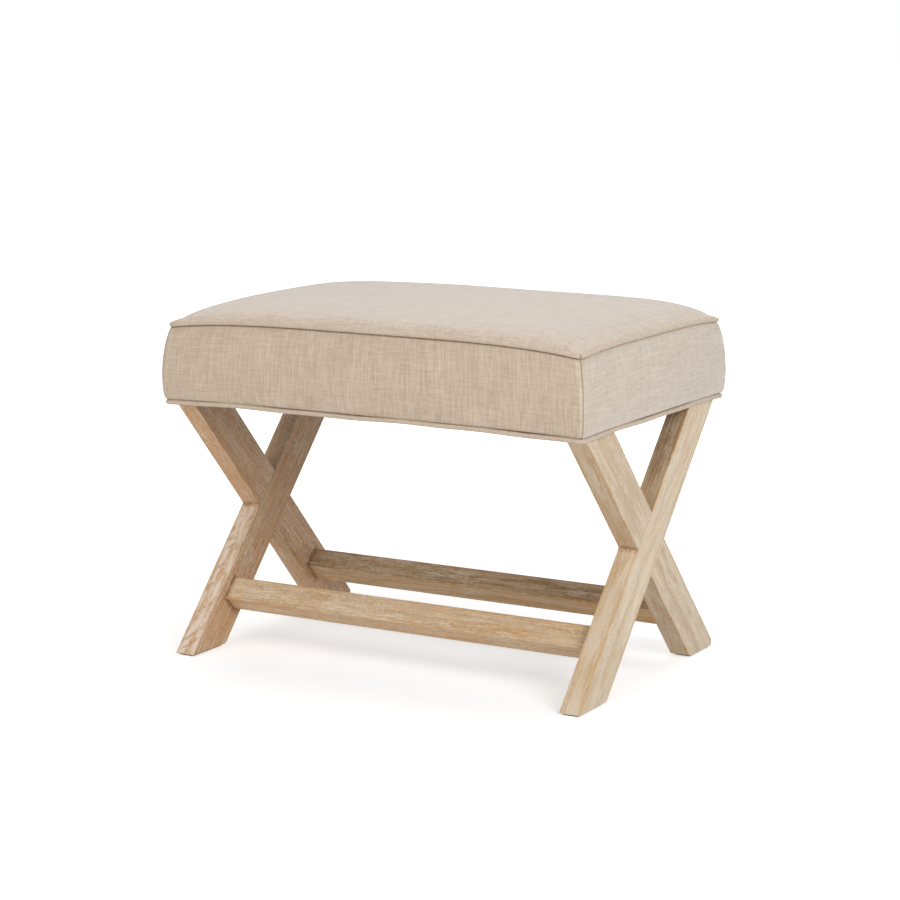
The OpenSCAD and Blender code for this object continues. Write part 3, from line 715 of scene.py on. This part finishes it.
def side_columns(first, spacing, arc_steps):
    """Places round the plan from one corner seam to the next, as arrays cx, cy and angle."""
    start, end = CORNERS[first], CORNERS[(first + 1) % 4]
    out = math.radians(90 * first - 90)
    length = 2 * (SEAT_HALF_D if first % 2 else SEAT_HALF_L)
    steps = round(length / spacing)
    rows = []
    for i in range(arc_steps):
        rows.append((*start, out - math.pi / 4 * (1 - i / arc_steps)))
    for i in range(steps + 1):
        t = i / steps
        rows.append((start[0] + (end[0] - start[0]) * t, start[1] + (end[1] - start[1]) * t, out))
    for i in range(1, arc_steps + 1):
        rows.append((*end, out + math.pi / 4 * i / arc_steps))
    return [np.array(c) for c in zip(*rows)]


def plan_columns(spacing, arc_steps):
    """Places round the whole plan, as arrays cx, cy and angle."""
    parts = [side_columns(k, spacing, arc_steps) for k in range(4)]
    return [np.concatenate([p[i][:-1] for p in parts]) for i in range(3)]


# Upholstery

FABRIC_STEP = 2.3 * MM
# The cloth simulation that gives the panels their small unevenness
CLOTH_FRAMES = 16
CLOTH_STIFFNESS = 12
CLOTH_BENDING = 0.4
CLOTH_EXCESS = 0.035
CLOTH_START = 0.15 * MM
# How many rows from its seam the cloth puckers, how firmly the padding holds it, and its most rise
CLOTH_PUCKER = 5
CLOTH_HOLD = 0.3
CLOTH_GRIP = 0.02
CLOTH_MOST = 0.7 * MM
# Ripples that are seen in single places: middle, direction of the waves in degrees, their length and
# height, and how far they reach. Places are along and up a side panel, or X and Y on the top. The
# last two, on the top, are so long that they are broad dents.
RIPPLES = {
    "front_panel": [(0.122, 0.078, 45, 14 * MM, 0.45 * MM, 0.016, 0.014)],
    "right_panel": [(0.034, 0.058, 80, 11 * MM, 0.4 * MM, 0.03, 0.026),
                    (0.3, 0.03, 60, 16 * MM, 0.3 * MM, 0.05, 0.02)],
    "top_panel": [(0.19, -0.191, 25, 12 * MM, 0.5 * MM, 0.09, 0.013),
                  (-0.01, -0.19, -30, 10 * MM, 0.5 * MM, 0.03, 0.014),
                  (0.06, 0.15, 0, 1.0, -1.3 * MM, 0.09, 0.08),
                  (-0.285, -0.13, 0, 1.0, -2 * MM, 0.06, 0.07)],
}
# Broad unevenness of the padding: height, and size along and across
LUMPS = (0.5 * MM, 0.085, 0.055)
# How the edge of a panel turns in at a corner seam: distance from the seam and depth
SEAM_FOLD = [(0.08 * MM, 2.6 * MM), (0.1 * MM, 1.5 * MM), (0.16 * MM, 0.8 * MM),
             (0.4 * MM, 0.3 * MM), (0.9 * MM, 0.06 * MM)]
# How it turns in under a piping: depth and rise towards the piping
PIPING_FOLD = [(2.6 * MM, 1.5 * MM), (1.4 * MM, 0.55 * MM), (0.5 * MM, 0.1 * MM)]
# How dark the painted crease shade and brown stitch line are at each seam, and their shares over the
# columns of a corner's fold and beside a piping
BASE_SEAM, TOP_SEAM, FRONT_TOP_SEAM, CORNER_SEAM = 0.22, 0.4, 0.95, 0.32
CORNER_SHARES = np.array([1, 1, 1, 0.8, 0.25])
BESIDE_SHARE = 0.35
# Columns and rows of the top's grid
TOP_GRID = (217, 155)
# How dark the painted crease shade is on the top over its first rows beside the piping
TOP_EDGE_SHADE = (0.3, 0.08, 0.01)
# How far its edge turns down behind the piping
TOP_EDGE_TURN = 2.2 * MM
# How far the lower piping wanders up and down, as a height, and its waves: count round the seat,
# start as a share of a wave, and share of the height
BASE_WANDER = 0.9 * MM
BASE_WAVES = [(7, -0.084, 0.6), (17, 0.296, 0.4)]
# Points round a cord
CORD_SIDES = 18
# How much a cord is pinched at a corner, as a share of its radius, how far along that shows, as a
# share of the turn, and how dark it is there at the top
CORNER_PINCH = 0.16
PINCH_REACH = 0.09
PINCH_DARK = 0.7
# Rows of the cover's hem: distance in from the outer edge, and height below the rails
HEM_PROFILE = [(0, -1.4 * MM), (1.5 * MM, -0.3 * MM), (3.5 * MM, 0), (9 * MM, 0), (13.5 * MM, 0)]
HEM_INSET = 1.5 * MM
HEM_T = 0.35 * MM
# Gap between the tops of the legs and the cloths under the rails
LEG_CLEAR = 1 * MM
DUST_CLOTH_T = 0.35 * MM
DUST_CLOTH_SAG = 2.2 * MM


def at_ends(values, count, sign=1):
    """count values: the given ones at the start, times sign, mirrored at the end and 0 between."""
    return np.concatenate([sign * values, np.zeros(count - 2 * len(values)), values[::-1]])


def run_along(line):
    """How far along a line of points each of them lies."""
    return np.cumsum(np.r_[0, np.linalg.norm(np.diff(line, axis=0), axis=1)])


def boxing(name, node, first, material, turned):
    """One side panel of the cover, from corner seam to corner seam."""
    cx, cy, angle = side_columns(first, FABRIC_STEP, 5)
    mean_r = (BASE_CORNER_R + TOP_CORNER_R) / 2
    fold_places, fold_depths = np.array(SEAM_FOLD).T
    fold_angles = fold_places / mean_r
    n = len(SEAM_FOLD)
    cx = np.concatenate([[cx[0]] * n, cx[1:-1], [cx[-1]] * n])
    cy = np.concatenate([[cy[0]] * n, cy[1:-1], [cy[-1]] * n])
    angle = np.concatenate([angle[0] + fold_angles, angle[1:-1], angle[-1] - fold_angles[::-1]])

    height = TOP_Z - BASE_Z - 2 * SEAM_MARGIN
    steps = round(height / FABRIC_STEP)
    t = np.linspace(0, 1, steps + 1)
    # The rows lie closer beside the pipings
    share = t - 0.45 * np.sin(2 * np.pi * t) / (2 * np.pi)
    edge_depths, edge_lifts = np.array(PIPING_FOLD).T
    rows = len(PIPING_FOLD)
    w = np.concatenate([[0] * rows, share, [1] * rows])
    lift = at_ends(edge_lifts, len(w), -1)
    depth = np.maximum(at_ends(edge_depths, len(w))[:, None], at_ends(fold_depths, len(cx))[None])
    points = side_point(cx[None], cy[None], angle[None], w[:, None], depth, lift[:, None])
    along, up = run_along(points[len(w) // 2]), run_along(points[:, len(cx) // 2])
    u, v = np.broadcast_to(along[None], depth.shape), np.broadcast_to(up[:, None], depth.shape)
    flat = (slice(rows, -rows), slice(n, -n))
    points[flat] += relief(name, points[flat], u[flat], v[flat], 40 + 5 * first)
    # Painted crease shade and a brown stitch line beside the pipings and along the corner seams
    dark = np.concatenate([[1] * rows, [BESIDE_SHARE], np.zeros(len(w) - rows - 1)])
    dark = dark * BASE_SEAM + dark[::-1] * (FRONT_TOP_SEAM if first == 0 else TOP_SEAM)
    seam = np.maximum(dark[:, None], at_ends(CORNER_SHARES, len(cx))[None] * CORNER_SEAM)
    part = np.full(u.shape, first + 0.5)
    cloth = np.stack([v, u, part] if turned else [u, v, part], -1)
    made = piece(name, points, grid_faces(len(w), len(cx)), material, "linen_cover", node,
                 cloth=cloth, seam=seam)
    thicken(made, COVER_T)
    return made


def top_panel(material):
    """The crowned top of the cover."""
    def spread(count):
        t = np.linspace(-1, 1, count)
        return 0.4 * t + 0.6 * np.sin(np.pi / 2 * t)

    columns, rows = TOP_GRID
    tx, ty = np.meshgrid(spread(columns), spread(rows))
    points = top_point(tx, ty)
    cloth = np.stack([points[..., 0], points[..., 1], np.full(tx.shape, 7.5)], -1)
    points += relief("top_panel", points, points[..., 0], points[..., 1], 70)
    points = np.pad(points, ((1, 1), (1, 1), (0, 0)), mode="edge")
    cloth = np.pad(cloth, ((1, 1), (1, 1), (0, 0)), mode="edge")
    from_edge = cells_from_edge(rows + 2, columns + 2)
    points[from_edge == 0, 2] -= TOP_EDGE_TURN
    # The top's first rows beside the piping get painted crease shade
    seam = np.interp(from_edge, range(len(TOP_EDGE_SHADE) + 1), (*TOP_EDGE_SHADE, 0))
    made = piece("top_panel", points, grid_faces(rows + 2, columns + 2), material, "linen_cover",
                 "cover_top", cloth=cloth, seam=seam)
    thicken(made, COVER_T)
    return made


def piping(name, node, w, material):
    """Covered cord round the seat, at share 0 or 1 of the boxing's height."""
    cx, cy, angle = plan_columns(3 * MM, 14)
    line = side_point(cx, cy, angle, np.full(cx.shape, float(w)), margin=0.0)
    ahead = np.roll(line, -1, 0) - np.roll(line, 1, 0)
    ahead /= np.linalg.norm(ahead, axis=1, keepdims=True)
    out = np.stack([ahead[:, 1], -ahead[:, 0], np.zeros(len(ahead))], -1)
    out /= np.linalg.norm(out, axis=1, keepdims=True)
    down = np.cross(ahead, out)
    run = run_along(line)
    if w == 0:
        for waves, start, share in BASE_WAVES:
            line[:, 2] += BASE_WANDER * share * np.sin(2 * np.pi * (waves * run / run[-1] + start))
    turn = np.arange(CORD_SIDES) * 2 * math.pi / CORD_SIDES
    uneven = 1 + 0.03 * value_noise(run[:, None] / (6 * MM), turn[None], 11 + int(w))
    # The cord is pinched where it turns a corner
    corner = np.abs(np.mod(angle / (math.pi / 2), 1) - 0.5)[:, None]
    radius = PIPING_R * (uneven - CORNER_PINCH * np.exp(-((corner / PINCH_REACH) ** 2)))
    points = line[:, None] + radius[..., None] * (
        np.cos(turn)[None, :, None] * out[:, None] + np.sin(turn)[None, :, None] * down[:, None])
    round_place = turn * PIPING_R
    bias = np.stack([run[:, None] + round_place[None], run[:, None] - round_place[None],
                     np.full((len(run), CORD_SIDES), 20.5 + w)], -1)
    bias[..., :2] /= math.sqrt(2)
    # The seam to the boxing, painted with crease shade and a brown stitch line, is on the lower side of
    # the top piping and on the upper side of the other
    beside = (1 if w else -1) * np.sin(turn)
    beside = np.clip((beside - 0.5) / 0.4, 0, 1) * (np.cos(turn) > -0.1)
    strength = np.where(np.sin(angle) < -0.9, FRONT_TOP_SEAM, TOP_SEAM) if w else BASE_SEAM
    seam = (strength * np.ones(len(line)))[:, None] * beside[None]
    outer = np.clip(np.cos(turn) + 0.6, 0, 1)
    seam = np.maximum(seam, w * PINCH_DARK * np.exp(-((corner / 0.05) ** 2)) * outer[None])
    total = len(line) * CORD_SIDES
    faces = [[k % total for k in f] for f in grid_faces(len(line) + 1, CORD_SIDES, closed=True)]
    piece(name, points, faces, material, "linen_cover", node, cloth=bias, seam=seam)


def cover_hem(material):
    """The cover turned under the rails, from the lower piping to under the dust cover."""
    outer_x, outer_y = SEAT_HALF_L - HEM_INSET, SEAT_HALF_D - HEM_INSET
    between_legs = leg_rise * math.tan(LEAN) - LEG_HALF_Y - LEG_CLEAR
    points, faces, cloth = [], [], []

    def strip(place, low, high, steps):
        start = len(points)
        for d, z in HEM_PROFILE:
            for i in range(steps + 1):
                run = low + (high - low) * i / steps
                points.append((*place(d, run), SEAT_Z - z))
                cloth.append((run, d, 33.5))
        for f in grid_faces(len(HEM_PROFILE), steps + 1):
            faces.append(tuple(start + k for k in f))

    for side in (LEFT, RIGHT):
        strip(lambda d, run: (side * (outer_x - d), side * run), -between_legs, between_legs, 40)
        strip(lambda d, run: (-side * run, side * (outer_y - d)), -outer_x, outer_x, 120)
    made = piece("cover_hem", points, faces, material, "linen_cover", cloth=cloth)
    thicken(made, -HEM_T)


# Where the rings of a soft layer lie: shares of the way out from the middle of the top, then shares of
# the boxing's height
TOP_SHARES = [0.12, 0.25, 0.4, 0.54, 0.66, 0.76, 0.84, 0.9, 0.94, 0.97, 0.988, 1]
SIDE_SHARES = [0.94, 0.86, 0.76, 0.64, 0.52, 0.4, 0.28, 0.18, 0.1, 0.04, 0]


def layer_rings(depth):
    """Rings of a soft layer from the middle of its top down to the lower piping."""
    cx, cy, angle = plan_columns(9 * MM, 4)
    rim = side_point(cx, cy, angle, np.ones(cx.shape), TOP_DRAW_IN)
    qx, qy = rim[:, 0] / SEAT_HALF_L, rim[:, 1] / SEAT_HALF_D
    most = np.maximum(np.abs(qx), np.abs(qy))
    rings = [top_point(s * qx / most, s * qy / most, depth) for s in TOP_SHARES]
    for w in SIDE_SHARES:
        rings.append(side_point(cx, cy, angle, np.full(cx.shape, float(w)), depth))
    return rings


def closed_skin(name, node, first, rings, last, material, slot):
    """A closed form through rings of equal count, ending in one point at each end."""
    count = len(rings[0])
    points = np.concatenate([[first], *rings, [last]])
    faces = [[1 + k for k in reversed(f)] for f in grid_faces(len(rings), count, closed=True)]
    end = len(points) - 1
    for i in range(count):
        j = (i + 1) % count
        faces += [(0, 1 + i, 1 + j), (end, end - count + j, end - count + i)]
    return piece(name, points, faces, material, slot, node)


def middle(depth):
    """The point over the seat's middle at a depth below the top."""
    return top_point(np.zeros(1), np.zeros(1), depth)[0]


def foam_core(material):
    """Moulded foam on the deck, with the crown and the swell of the seat."""
    depth = COVER_T + SOFT_GAP + BATTING_T + SOFT_GAP
    floor = DECK_TOP + SOFT_GAP
    rings = [r for r in layer_rings(depth) if r[:, 2].min() > floor]
    foot = rings[-1].copy()
    foot[:, 2] = floor
    made = closed_skin("foam_block", "foam_core", middle(depth), [*rings, foot], (0, 0, floor),
                       material, "foam")


def batting(material):
    """Wrap of polyester wadding between the foam and the cover."""
    depth = COVER_T + SOFT_GAP
    rings = [*layer_rings(depth), *reversed(layer_rings(depth + BATTING_T))]
    made = closed_skin("wadding", "batting", middle(depth), rings, middle(depth + BATTING_T),
                       material, "polyester_batting")


# Leg frames

def leg_y(z, foot):
    """Y of the middle of a leg at height z. foot is FRONT or BACK, where it stands."""
    return foot * (CROSS_Z - z) * math.tan(LEAN)


def leg_axis(foot):
    """Unit vector up along a leg."""
    return (0, -foot * math.sin(LEAN), math.cos(LEAN))


def leg_cross(foot):
    """Unit vector across a leg's width, towards the side where its foot stands."""
    return (0, foot * math.cos(LEAN), math.sin(LEAN))


def leg_outline(foot):
    """Points (y, z) of a leg from its toe round the heel and the top, and which sides are eased."""
    half = LEG_HALF_Y
    toe_cut = TOE_CUTS[foot > 0]
    toe_y = leg_y(PAD_T, foot) + foot * (half - toe_cut)
    outline = [((toe_y, PAD_T), True)]
    heel_y = leg_y(PAD_T, foot) - foot * half
    # The heel is rounded between the sole and the back edge
    turn = math.pi / 2 - LEAN
    reach = HEEL_R * math.tan(turn / 2)
    centre = Vector((heel_y + foot * reach, PAD_T + HEEL_R))
    for k in range(7):
        a = turn * k / 6
        outline.append(((centre.x - foot * HEEL_R * math.sin(a), centre.y - HEEL_R * math.cos(a)), True))
    outline.append(((0, CROSS_Z - LAP_Z), False))
    outline.append(((-foot * half, CROSS_Z), True))
    outline.append(((leg_y(SEAT_Z, foot) - foot * half, SEAT_Z), False))
    outline.append(((leg_y(SEAT_Z, foot) + foot * half, SEAT_Z), True))
    outline.append(((0, CROSS_Z + LAP_Z), False))
    outline.append(((foot * half, CROSS_Z), True))
    outline.append(((toe_y, PAD_T + toe_cut / math.tan(LEAN)), True))
    return outline


def prism(outline, x_low, x_high):
    """A bmesh of an outline in Y and Z drawn out along X, with its points at either end."""
    work = bmesh.new()
    low = [work.verts.new((x_low, y, z)) for y, z in outline]
    high = [work.verts.new((x_high, y, z)) for y, z in outline]
    work.faces.new(low)
    work.faces.new(high[::-1])
    for i in range(len(outline)):
        j = (i + 1) % len(outline)
        work.faces.new((low[j], low[i], high[i], high[j]))
    bmesh.ops.recalc_face_normals(work, faces=work.faces)
    return work, low, high


def leg_board(name, foot, x_low, cutter):
    """A leg's board. The edges of its marked sides are eased, and those of its sole are rounder."""
    outline = leg_outline(foot)
    work, low, high = prism([place for place, _ in outline], x_low, x_low + LEG_T)
    weights = work.edges.layers.float.new("bevel_weight_edge")
    for i, (_, eased) in enumerate(outline):
        for ends in (low, high):
            edge = work.edges.get((ends[i], ends[(i + 1) % len(outline)]))
            edge[weights] = EASE / SOLE_EASE if eased else 0
    # The rounder edges are the sole's sides, its toe and the corner above the toe
    for a, b in ((low[0], low[1]), (high[0], high[1]), (low[0], high[0]), (low[-1], high[-1])):
        work.edges.get((a, b))[weights] = 1
    made = solid(name, work)
    ease = made.modifiers.new("ease", "BEVEL")
    ease.limit_method = "WEIGHT"
    ease.width = SOLE_EASE
    ease.segments = 4
    cut = made.modifiers.new("lap", "BOOLEAN")
    cut.operation = "DIFFERENCE"
    cut.solver = "MANIFOLD"
    cut.object = cutter
    bpy.context.view_layer.update()
    seen = made.evaluated_get(bpy.context.evaluated_depsgraph_get())
    mesh = bpy.data.meshes.new_from_object(seen)
    made.modifiers.clear()
    made.data = mesh
    bpy.data.objects.remove(cutter)
    return made


def lap_cutter(x_low, x_high, foot):
    """A block over the half of a leg that its partner passes through."""
    corners = []
    for across, along in CORNERS:
        z = CROSS_Z + along * 2 * LAP_Z
        corners.append((leg_y(z, -foot) + across * (LEG_HALF_Y + GLUE_GAP), z))
    return solid("cutter", prism(corners, x_low, x_high)[0])


def finish_board(made, node, centre, axes, shift, material):
    """Smooth eased edges, material and body, and each point's place in the board: along it, across
    its width and through its thickness. shift moves the grain, so that no two boards are alike."""
    mesh = made.data
    places = np.empty(len(mesh.vertices) * 3, np.float32)
    mesh.vertices.foreach_get("co", places)
    board = (places.reshape(-1, 3) - np.array(centre)) @ np.array(axes).T
    store(mesh, "board", board)
    store(mesh, "grain", board + np.array(shift))
    smooth(mesh)
    mesh.set_sharp_from_angle(angle=math.radians(40))
    mesh.materials.clear()
    mesh.materials.append(material)
    weighted = made.modifiers.new("even shading", "WEIGHTED_NORMAL")
    weighted.keep_sharp = True
    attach(made, "root")
    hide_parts(node)


def leg(name, node, side, foot, material, shift):
    """A leg, which is halved at the crossing: the front foot's on its left, the other on its right."""
    x_low = LEG_IN_X if side == RIGHT else -LEG_IN_X - LEG_T
    x_mid, x_high = x_low + LEG_T / 2, x_low + LEG_T
    if foot == FRONT:
        cutter = lap_cutter(x_low - OVERRUN, x_mid + GLUE_GAP / 2, foot)
    else:
        cutter = lap_cutter(x_mid - GLUE_GAP / 2, x_high + OVERRUN, foot)
    made = leg_board(name, foot, x_low, cutter)
    centre = (x_mid, leg_y(STRETCHER_Z, foot), STRETCHER_Z)
    finish_board(made, node, centre, [leg_axis(foot), leg_cross(foot), (side, 0, 0)], shift, material)


def block(size):
    """A bmesh of a box about the origin."""
    work = bmesh.new()
    bmesh.ops.create_cube(work, size=1)
    bmesh.ops.scale(work, vec=size, verts=work.verts)
    return work


def round_edges(work, edges, radius, segments):
    bmesh.ops.bevel(work, geom=edges, offset=radius, offset_type="OFFSET", segments=segments,
                    profile=0.5, affect="EDGES")


def stretcher(name, node, foot, material, shift):
    """Square bar between the leg frames, turned to lie along the leg that it joins."""
    length = 2 * (LEG_IN_X - GLUE_GAP)
    work = block((length, STRETCHER_T, STRETCHER_H))
    long_edges = [e for e in work.edges if abs(e.verts[0].co.x - e.verts[1].co.x) > length / 2]
    round_edges(work, long_edges, EASE, 3)
    centre = (0, leg_y(STRETCHER_Z, foot), STRETCHER_Z)
    work.transform(Matrix.Translation(centre) @ Matrix.Rotation(foot * LEAN, 4, "X"))
    axes = [(1, 0, 0), leg_axis(foot), leg_cross(foot)]
    finish_board(solid(name, work), node, centre, axes, shift, material)


def foot_pad(name, node, material):
    """Felt pad with rounded corners and soft edges."""
    low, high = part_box(node)
    work = block(high - low)
    bmesh.ops.translate(work, vec=(low + high) / 2, verts=work.verts)

    def climb(edge):
        return abs(edge.verts[0].co.z - edge.verts[1].co.z)

    round_edges(work, [e for e in work.edges if climb(e) > PAD_T / 2], PAD_CORNER_R, 6)
    rim = [e for e in work.edges if climb(e) < 1e-6
           and abs(e.link_faces[0].normal.z - e.link_faces[1].normal.z) > 0.5]
    round_edges(work, rim, PAD_EASE, 2)
    made = solid(name, work)
    smooth(made.data)
    made.data.set_sharp_from_angle(angle=math.radians(50))
    made.data.materials.append(material)
    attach(made, "root")
    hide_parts(node)


# Underside

def dust_cover(material):
    """Stapled dust cloth, cut out round the tops of the legs and sagging a little between the rails."""
    low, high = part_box("dust_cover")
    notch_x = LEG_IN_X - 2 * SOFT_GAP
    top_y = leg_rise * math.tan(LEAN)
    notch = (top_y - LEG_HALF_Y - LEG_CLEAR, top_y + LEG_HALF_Y + LEG_CLEAR)

    def stops(edges, spacing=9 * MM):
        """Places from each edge to the next, about one spacing apart."""
        found = []
        for a, b in zip(edges, edges[1:]):
            steps = max(1, round((b - a) / spacing))
            found += [a + (b - a) * i / steps for i in range(steps)]
        return np.array([*found, edges[-1]])

    xs = stops([low.x, -notch_x, notch_x, high.x])
    ys = stops([low.y, -notch[1], -notch[0], notch[0], notch[1], high.y])
    gx, gy = np.meshgrid(xs, ys)
    across = np.clip(1 - (gx / (high.x - 60 * MM)) ** 2, 0, 1)
    deep = np.clip(1 - (gy / (high.y - 22 * MM)) ** 2, 0, 1)
    sag = DUST_CLOTH_SAG * across**0.6 * deep**0.7
    sag *= 1 + 0.25 * value_noise(gx / (70 * MM), gy / (55 * MM), 5)
    points = np.stack([gx, gy, low.z + DUST_CLOTH_T - sag], -1).reshape(-1, 3)
    faces = []
    for a, b, c, d in grid_faces(len(ys), len(xs)):
        x, y = np.abs(points[a, :2] + points[c, :2]) / 2
        if x <= notch_x or not notch[0] < y < notch[1]:
            faces.append((a, d, c, b))
    used = sorted({k for f in faces for k in f})
    index = {k: i for i, k in enumerate(used)}
    faces = [[index[k] for k in f] for f in faces]
    made = piece("dust_cloth", points[used], faces, material, "cambric", "dust_cover")
    thicken(made, DUST_CLOTH_T)


# The object

# The copies of the one linen differ in tint and sheen to match how light falls on each side: the front's
# darker, warmer tint is painted shade
front_linen = linen("linen_front", warp=0.82, weft=0.58, tint=(205, 186, 164), sheen=0.12)
side_linen = linen("linen_side", warp=0.8, weft=0.75, tint=(206, 189, 170))
top_linen = linen("linen_top", warp=0.62, weft=0.7)
piping_linen = linen("linen_piping", warp=0.6, weft=0.6, tint=(208, 190, 169), sheen=0.15)

cover = top_panel(top_linen)
for index, side in enumerate(("front", "right", "back", "left")):
    turned = index % 2 == 1
    material = side_linen if turned else front_linen
    panel = boxing(side + "_panel", "cover_" + side, index, material, turned)
piping("top_piping", "piping_top", 1, piping_linen)
piping("bottom_piping", "piping_bottom", 0, piping_linen)
cover_hem(front_linen)
foam_core(fibrous("foam", (240, 232, 205), (222, 210, 174), 900.0, 0.3 * MM))
batting(fibrous("batting", (246, 246, 244), (226, 226, 224), 500.0, 0.6 * MM))
dust_cover(nonwoven("cambric"))

tan_oak = oak("oak_tan", (222, 203, 178), (213, 188, 154), (187, 161, 130), (208, 163, 102),
              lime=0.5, wash=0.55, worn=0.15)
back_tan_oak = oak("oak_tan_back", (211, 191, 164), (201, 176, 143), (174, 150, 121), (194, 150, 96),
                   lime=0.5, wash=0.45, worn=0.15)
# The left-hand legs are of browner boards
BROWN = [(222, 177, 133), (205, 152, 101), (161, 115, 76), (205, 164, 119)]
brown_oak = oak("oak_brown", *BROWN, lime=0.7, wash=0.2, worn=0.85)
back_brown_oak = oak("oak_brown_back", *BROWN, lime=0.7, wash=0.15)
light_bar = oak("oak_front_bar", (226, 190, 148), (216, 174, 124), (176, 142, 104), (206, 162, 108),
                lime=0.75, bar=FRONT)
# The back stretcher's darker tone is partly its darker wood and partly painted shade from the seat above
# it
dark_bar = oak("oak_back_bar", (200, 166, 126), (192, 149, 97), (136, 103, 68), (172, 129, 80),
               lime=0.6, bar=BACK)
leg("front_right_leg", "leg_front_right", RIGHT, FRONT, tan_oak, (0.31, 0.12, 0.05))
leg("back_right_leg", "leg_back_right", RIGHT, BACK, back_tan_oak, (1.43, 0.57, 0.31))
leg("front_left_leg", "leg_front_left", LEFT, FRONT, brown_oak, (2.71, 0.93, 0.77))
leg("back_left_leg", "leg_back_left", LEFT, BACK, back_brown_oak, (3.19, 1.37, 0.11))
stretcher("front_stretcher", "stretcher_front", FRONT, light_bar, (4.37, 1.91, 0.43))
stretcher("back_stretcher", "stretcher_back", BACK, dark_bar, (5.83, 2.29, 0.89))

felt = fibrous("felt", (78, 60, 47), (46, 35, 28), 1400.0, 0.3 * MM)
for end in ("front", "back"):
    for side in ("left", "right"):
        foot_pad(f"{end}_{side}_foot_pad", f"foot_pad_{end}_{side}", felt)

pine = softwood("frame_pine", (222, 196, 152), (196, 162, 114))
beech = softwood("beech", (212, 178, 138), (190, 152, 112))
zinc = metal("zinc_steel", (186, 188, 190), 0.32)
# The nodes that keep their solids, with their materials
KEPT = {
    "end_rail_left": pine, "end_rail_right": pine, "front_rail": pine, "back_rail": pine,
    "cross_rail": pine, "corner_blocks": pine, "stretcher_dowels": beech,
    "deck_panel": layered_wood("plywood"), "leg_bolts": zinc, "leg_washers": zinc,
    "leg_inserts": metal("insert_brass", (204, 172, 104), 0.3), "rail_screws": zinc,
    "deck_screws": zinc, "staples": zinc,
}
for node, material in KEPT.items():
    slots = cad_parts[node].data.materials
    slots.clear()
    slots.append(material)


# Floor, light and camera

FLOOR_HALF = 30
# How strongly the floor glows in view: under the object, where its shadow shows, and far away
FLOOR_GLOW = (0.53, 1.0)
# How strong the white of the world is as light on the object
WORLD_LIGHT = 0.34
WHITE = (1, 1, 1, 1)


def backdrop():
    """A white floor that keeps the object's soft shadow, and the same white behind it."""
    s = new_material("floor")
    grey = s.mix(s.noise(s.place(), scale=3.0, detail=1.0), (0.79, 0.79, 0.79, 1), (0.8, 0.8, 0.8, 1))
    lit = s.node("BsdfDiffuse", {"Color": grey}).outputs[0]
    away = s.node("VectorMath", {0: s.place()}, operation="LENGTH").outputs["Value"]
    glow = s.times(s.in_view(), s.step(away, 0.4, 1.5, *FLOOR_GLOW))
    own = s.node("Emission", {"Color": WHITE, "Strength": glow}).outputs[0]
    both = s.node("AddShader", {0: lit, 1: own}).outputs[0]
    s.node("OutputMaterial", {"Surface": both})
    mesh = bpy.data.meshes.new("floor")
    mesh.from_pydata([(x * FLOOR_HALF, y * FLOOR_HALF, 0) for x, y in CORNERS], [], [(0, 1, 2, 3)])
    mesh.materials.append(s.owner)
    placed("floor", mesh)

    world = Nodes(bpy.data.worlds.new("studio"))
    strength = world.step(world.in_view(), 0.0, 1.0, WORLD_LIGHT, 1.0)
    light = world.node("Background", {"Color": WHITE, "Strength": strength}).outputs[0]
    world.node("OutputWorld", {"Surface": light})
    bpy.context.scene.world = world.owner


def softbox(name, at, size, watts, colour=(1, 1, 1)):
    """A square area lamp that looks at the seat."""
    light = bpy.data.lights.new(name, "AREA")
    light.size = size
    light.energy = watts
    light.color = colour
    made = placed(name, light)
    made.location = at
    aim = Vector((0, 0, 0.3)) - Vector(at)
    made.rotation_mode = "QUATERNION"
    made.rotation_quaternion = aim.to_track_quat("-Z", "Y")


def photo_camera():
    """The camera at the photograph's viewing angle."""
    yaw, pitch, roll = CAMERA_YAW, CAMERA_PITCH, CAMERA_ROLL
    ahead = Vector((-math.sin(yaw) * math.cos(pitch), math.cos(yaw) * math.cos(pitch), -math.sin(pitch)))
    level = Vector((math.cos(yaw), math.sin(yaw), 0))
    up = level.cross(ahead)
    right = math.cos(roll) * level + math.sin(roll) * up
    up = math.cos(roll) * up - math.sin(roll) * level
    data = bpy.data.cameras.new("camera")
    data.sensor_width = SENSOR_MM
    data.lens = FOCAL_PX / PHOTO_PX * SENSOR_MM
    data.clip_start = 0.1
    data.clip_end = 100
    made = placed("camera", data)
    made.matrix_world = Matrix((
        (right.x, up.x, -ahead.x, CAMERA_AT[0]),
        (right.y, up.y, -ahead.y, CAMERA_AT[1]),
        (right.z, up.z, -ahead.z, CAMERA_AT[2]),
        (0, 0, 0, 1),
    ))
    bpy.context.scene.camera = made


backdrop()
softbox("key", (2.9, -1.5, 1.7), 1.8, 61)
softbox("top", (-0.3, 0.9, 2.8), 2.2, 29)
softbox("fill", (-1.2, -3.1, 0.8), 1.7, 29, (1, 0.965, 0.92))
photo_camera()
bpy.context.scene.view_settings.view_transform = "Standard"
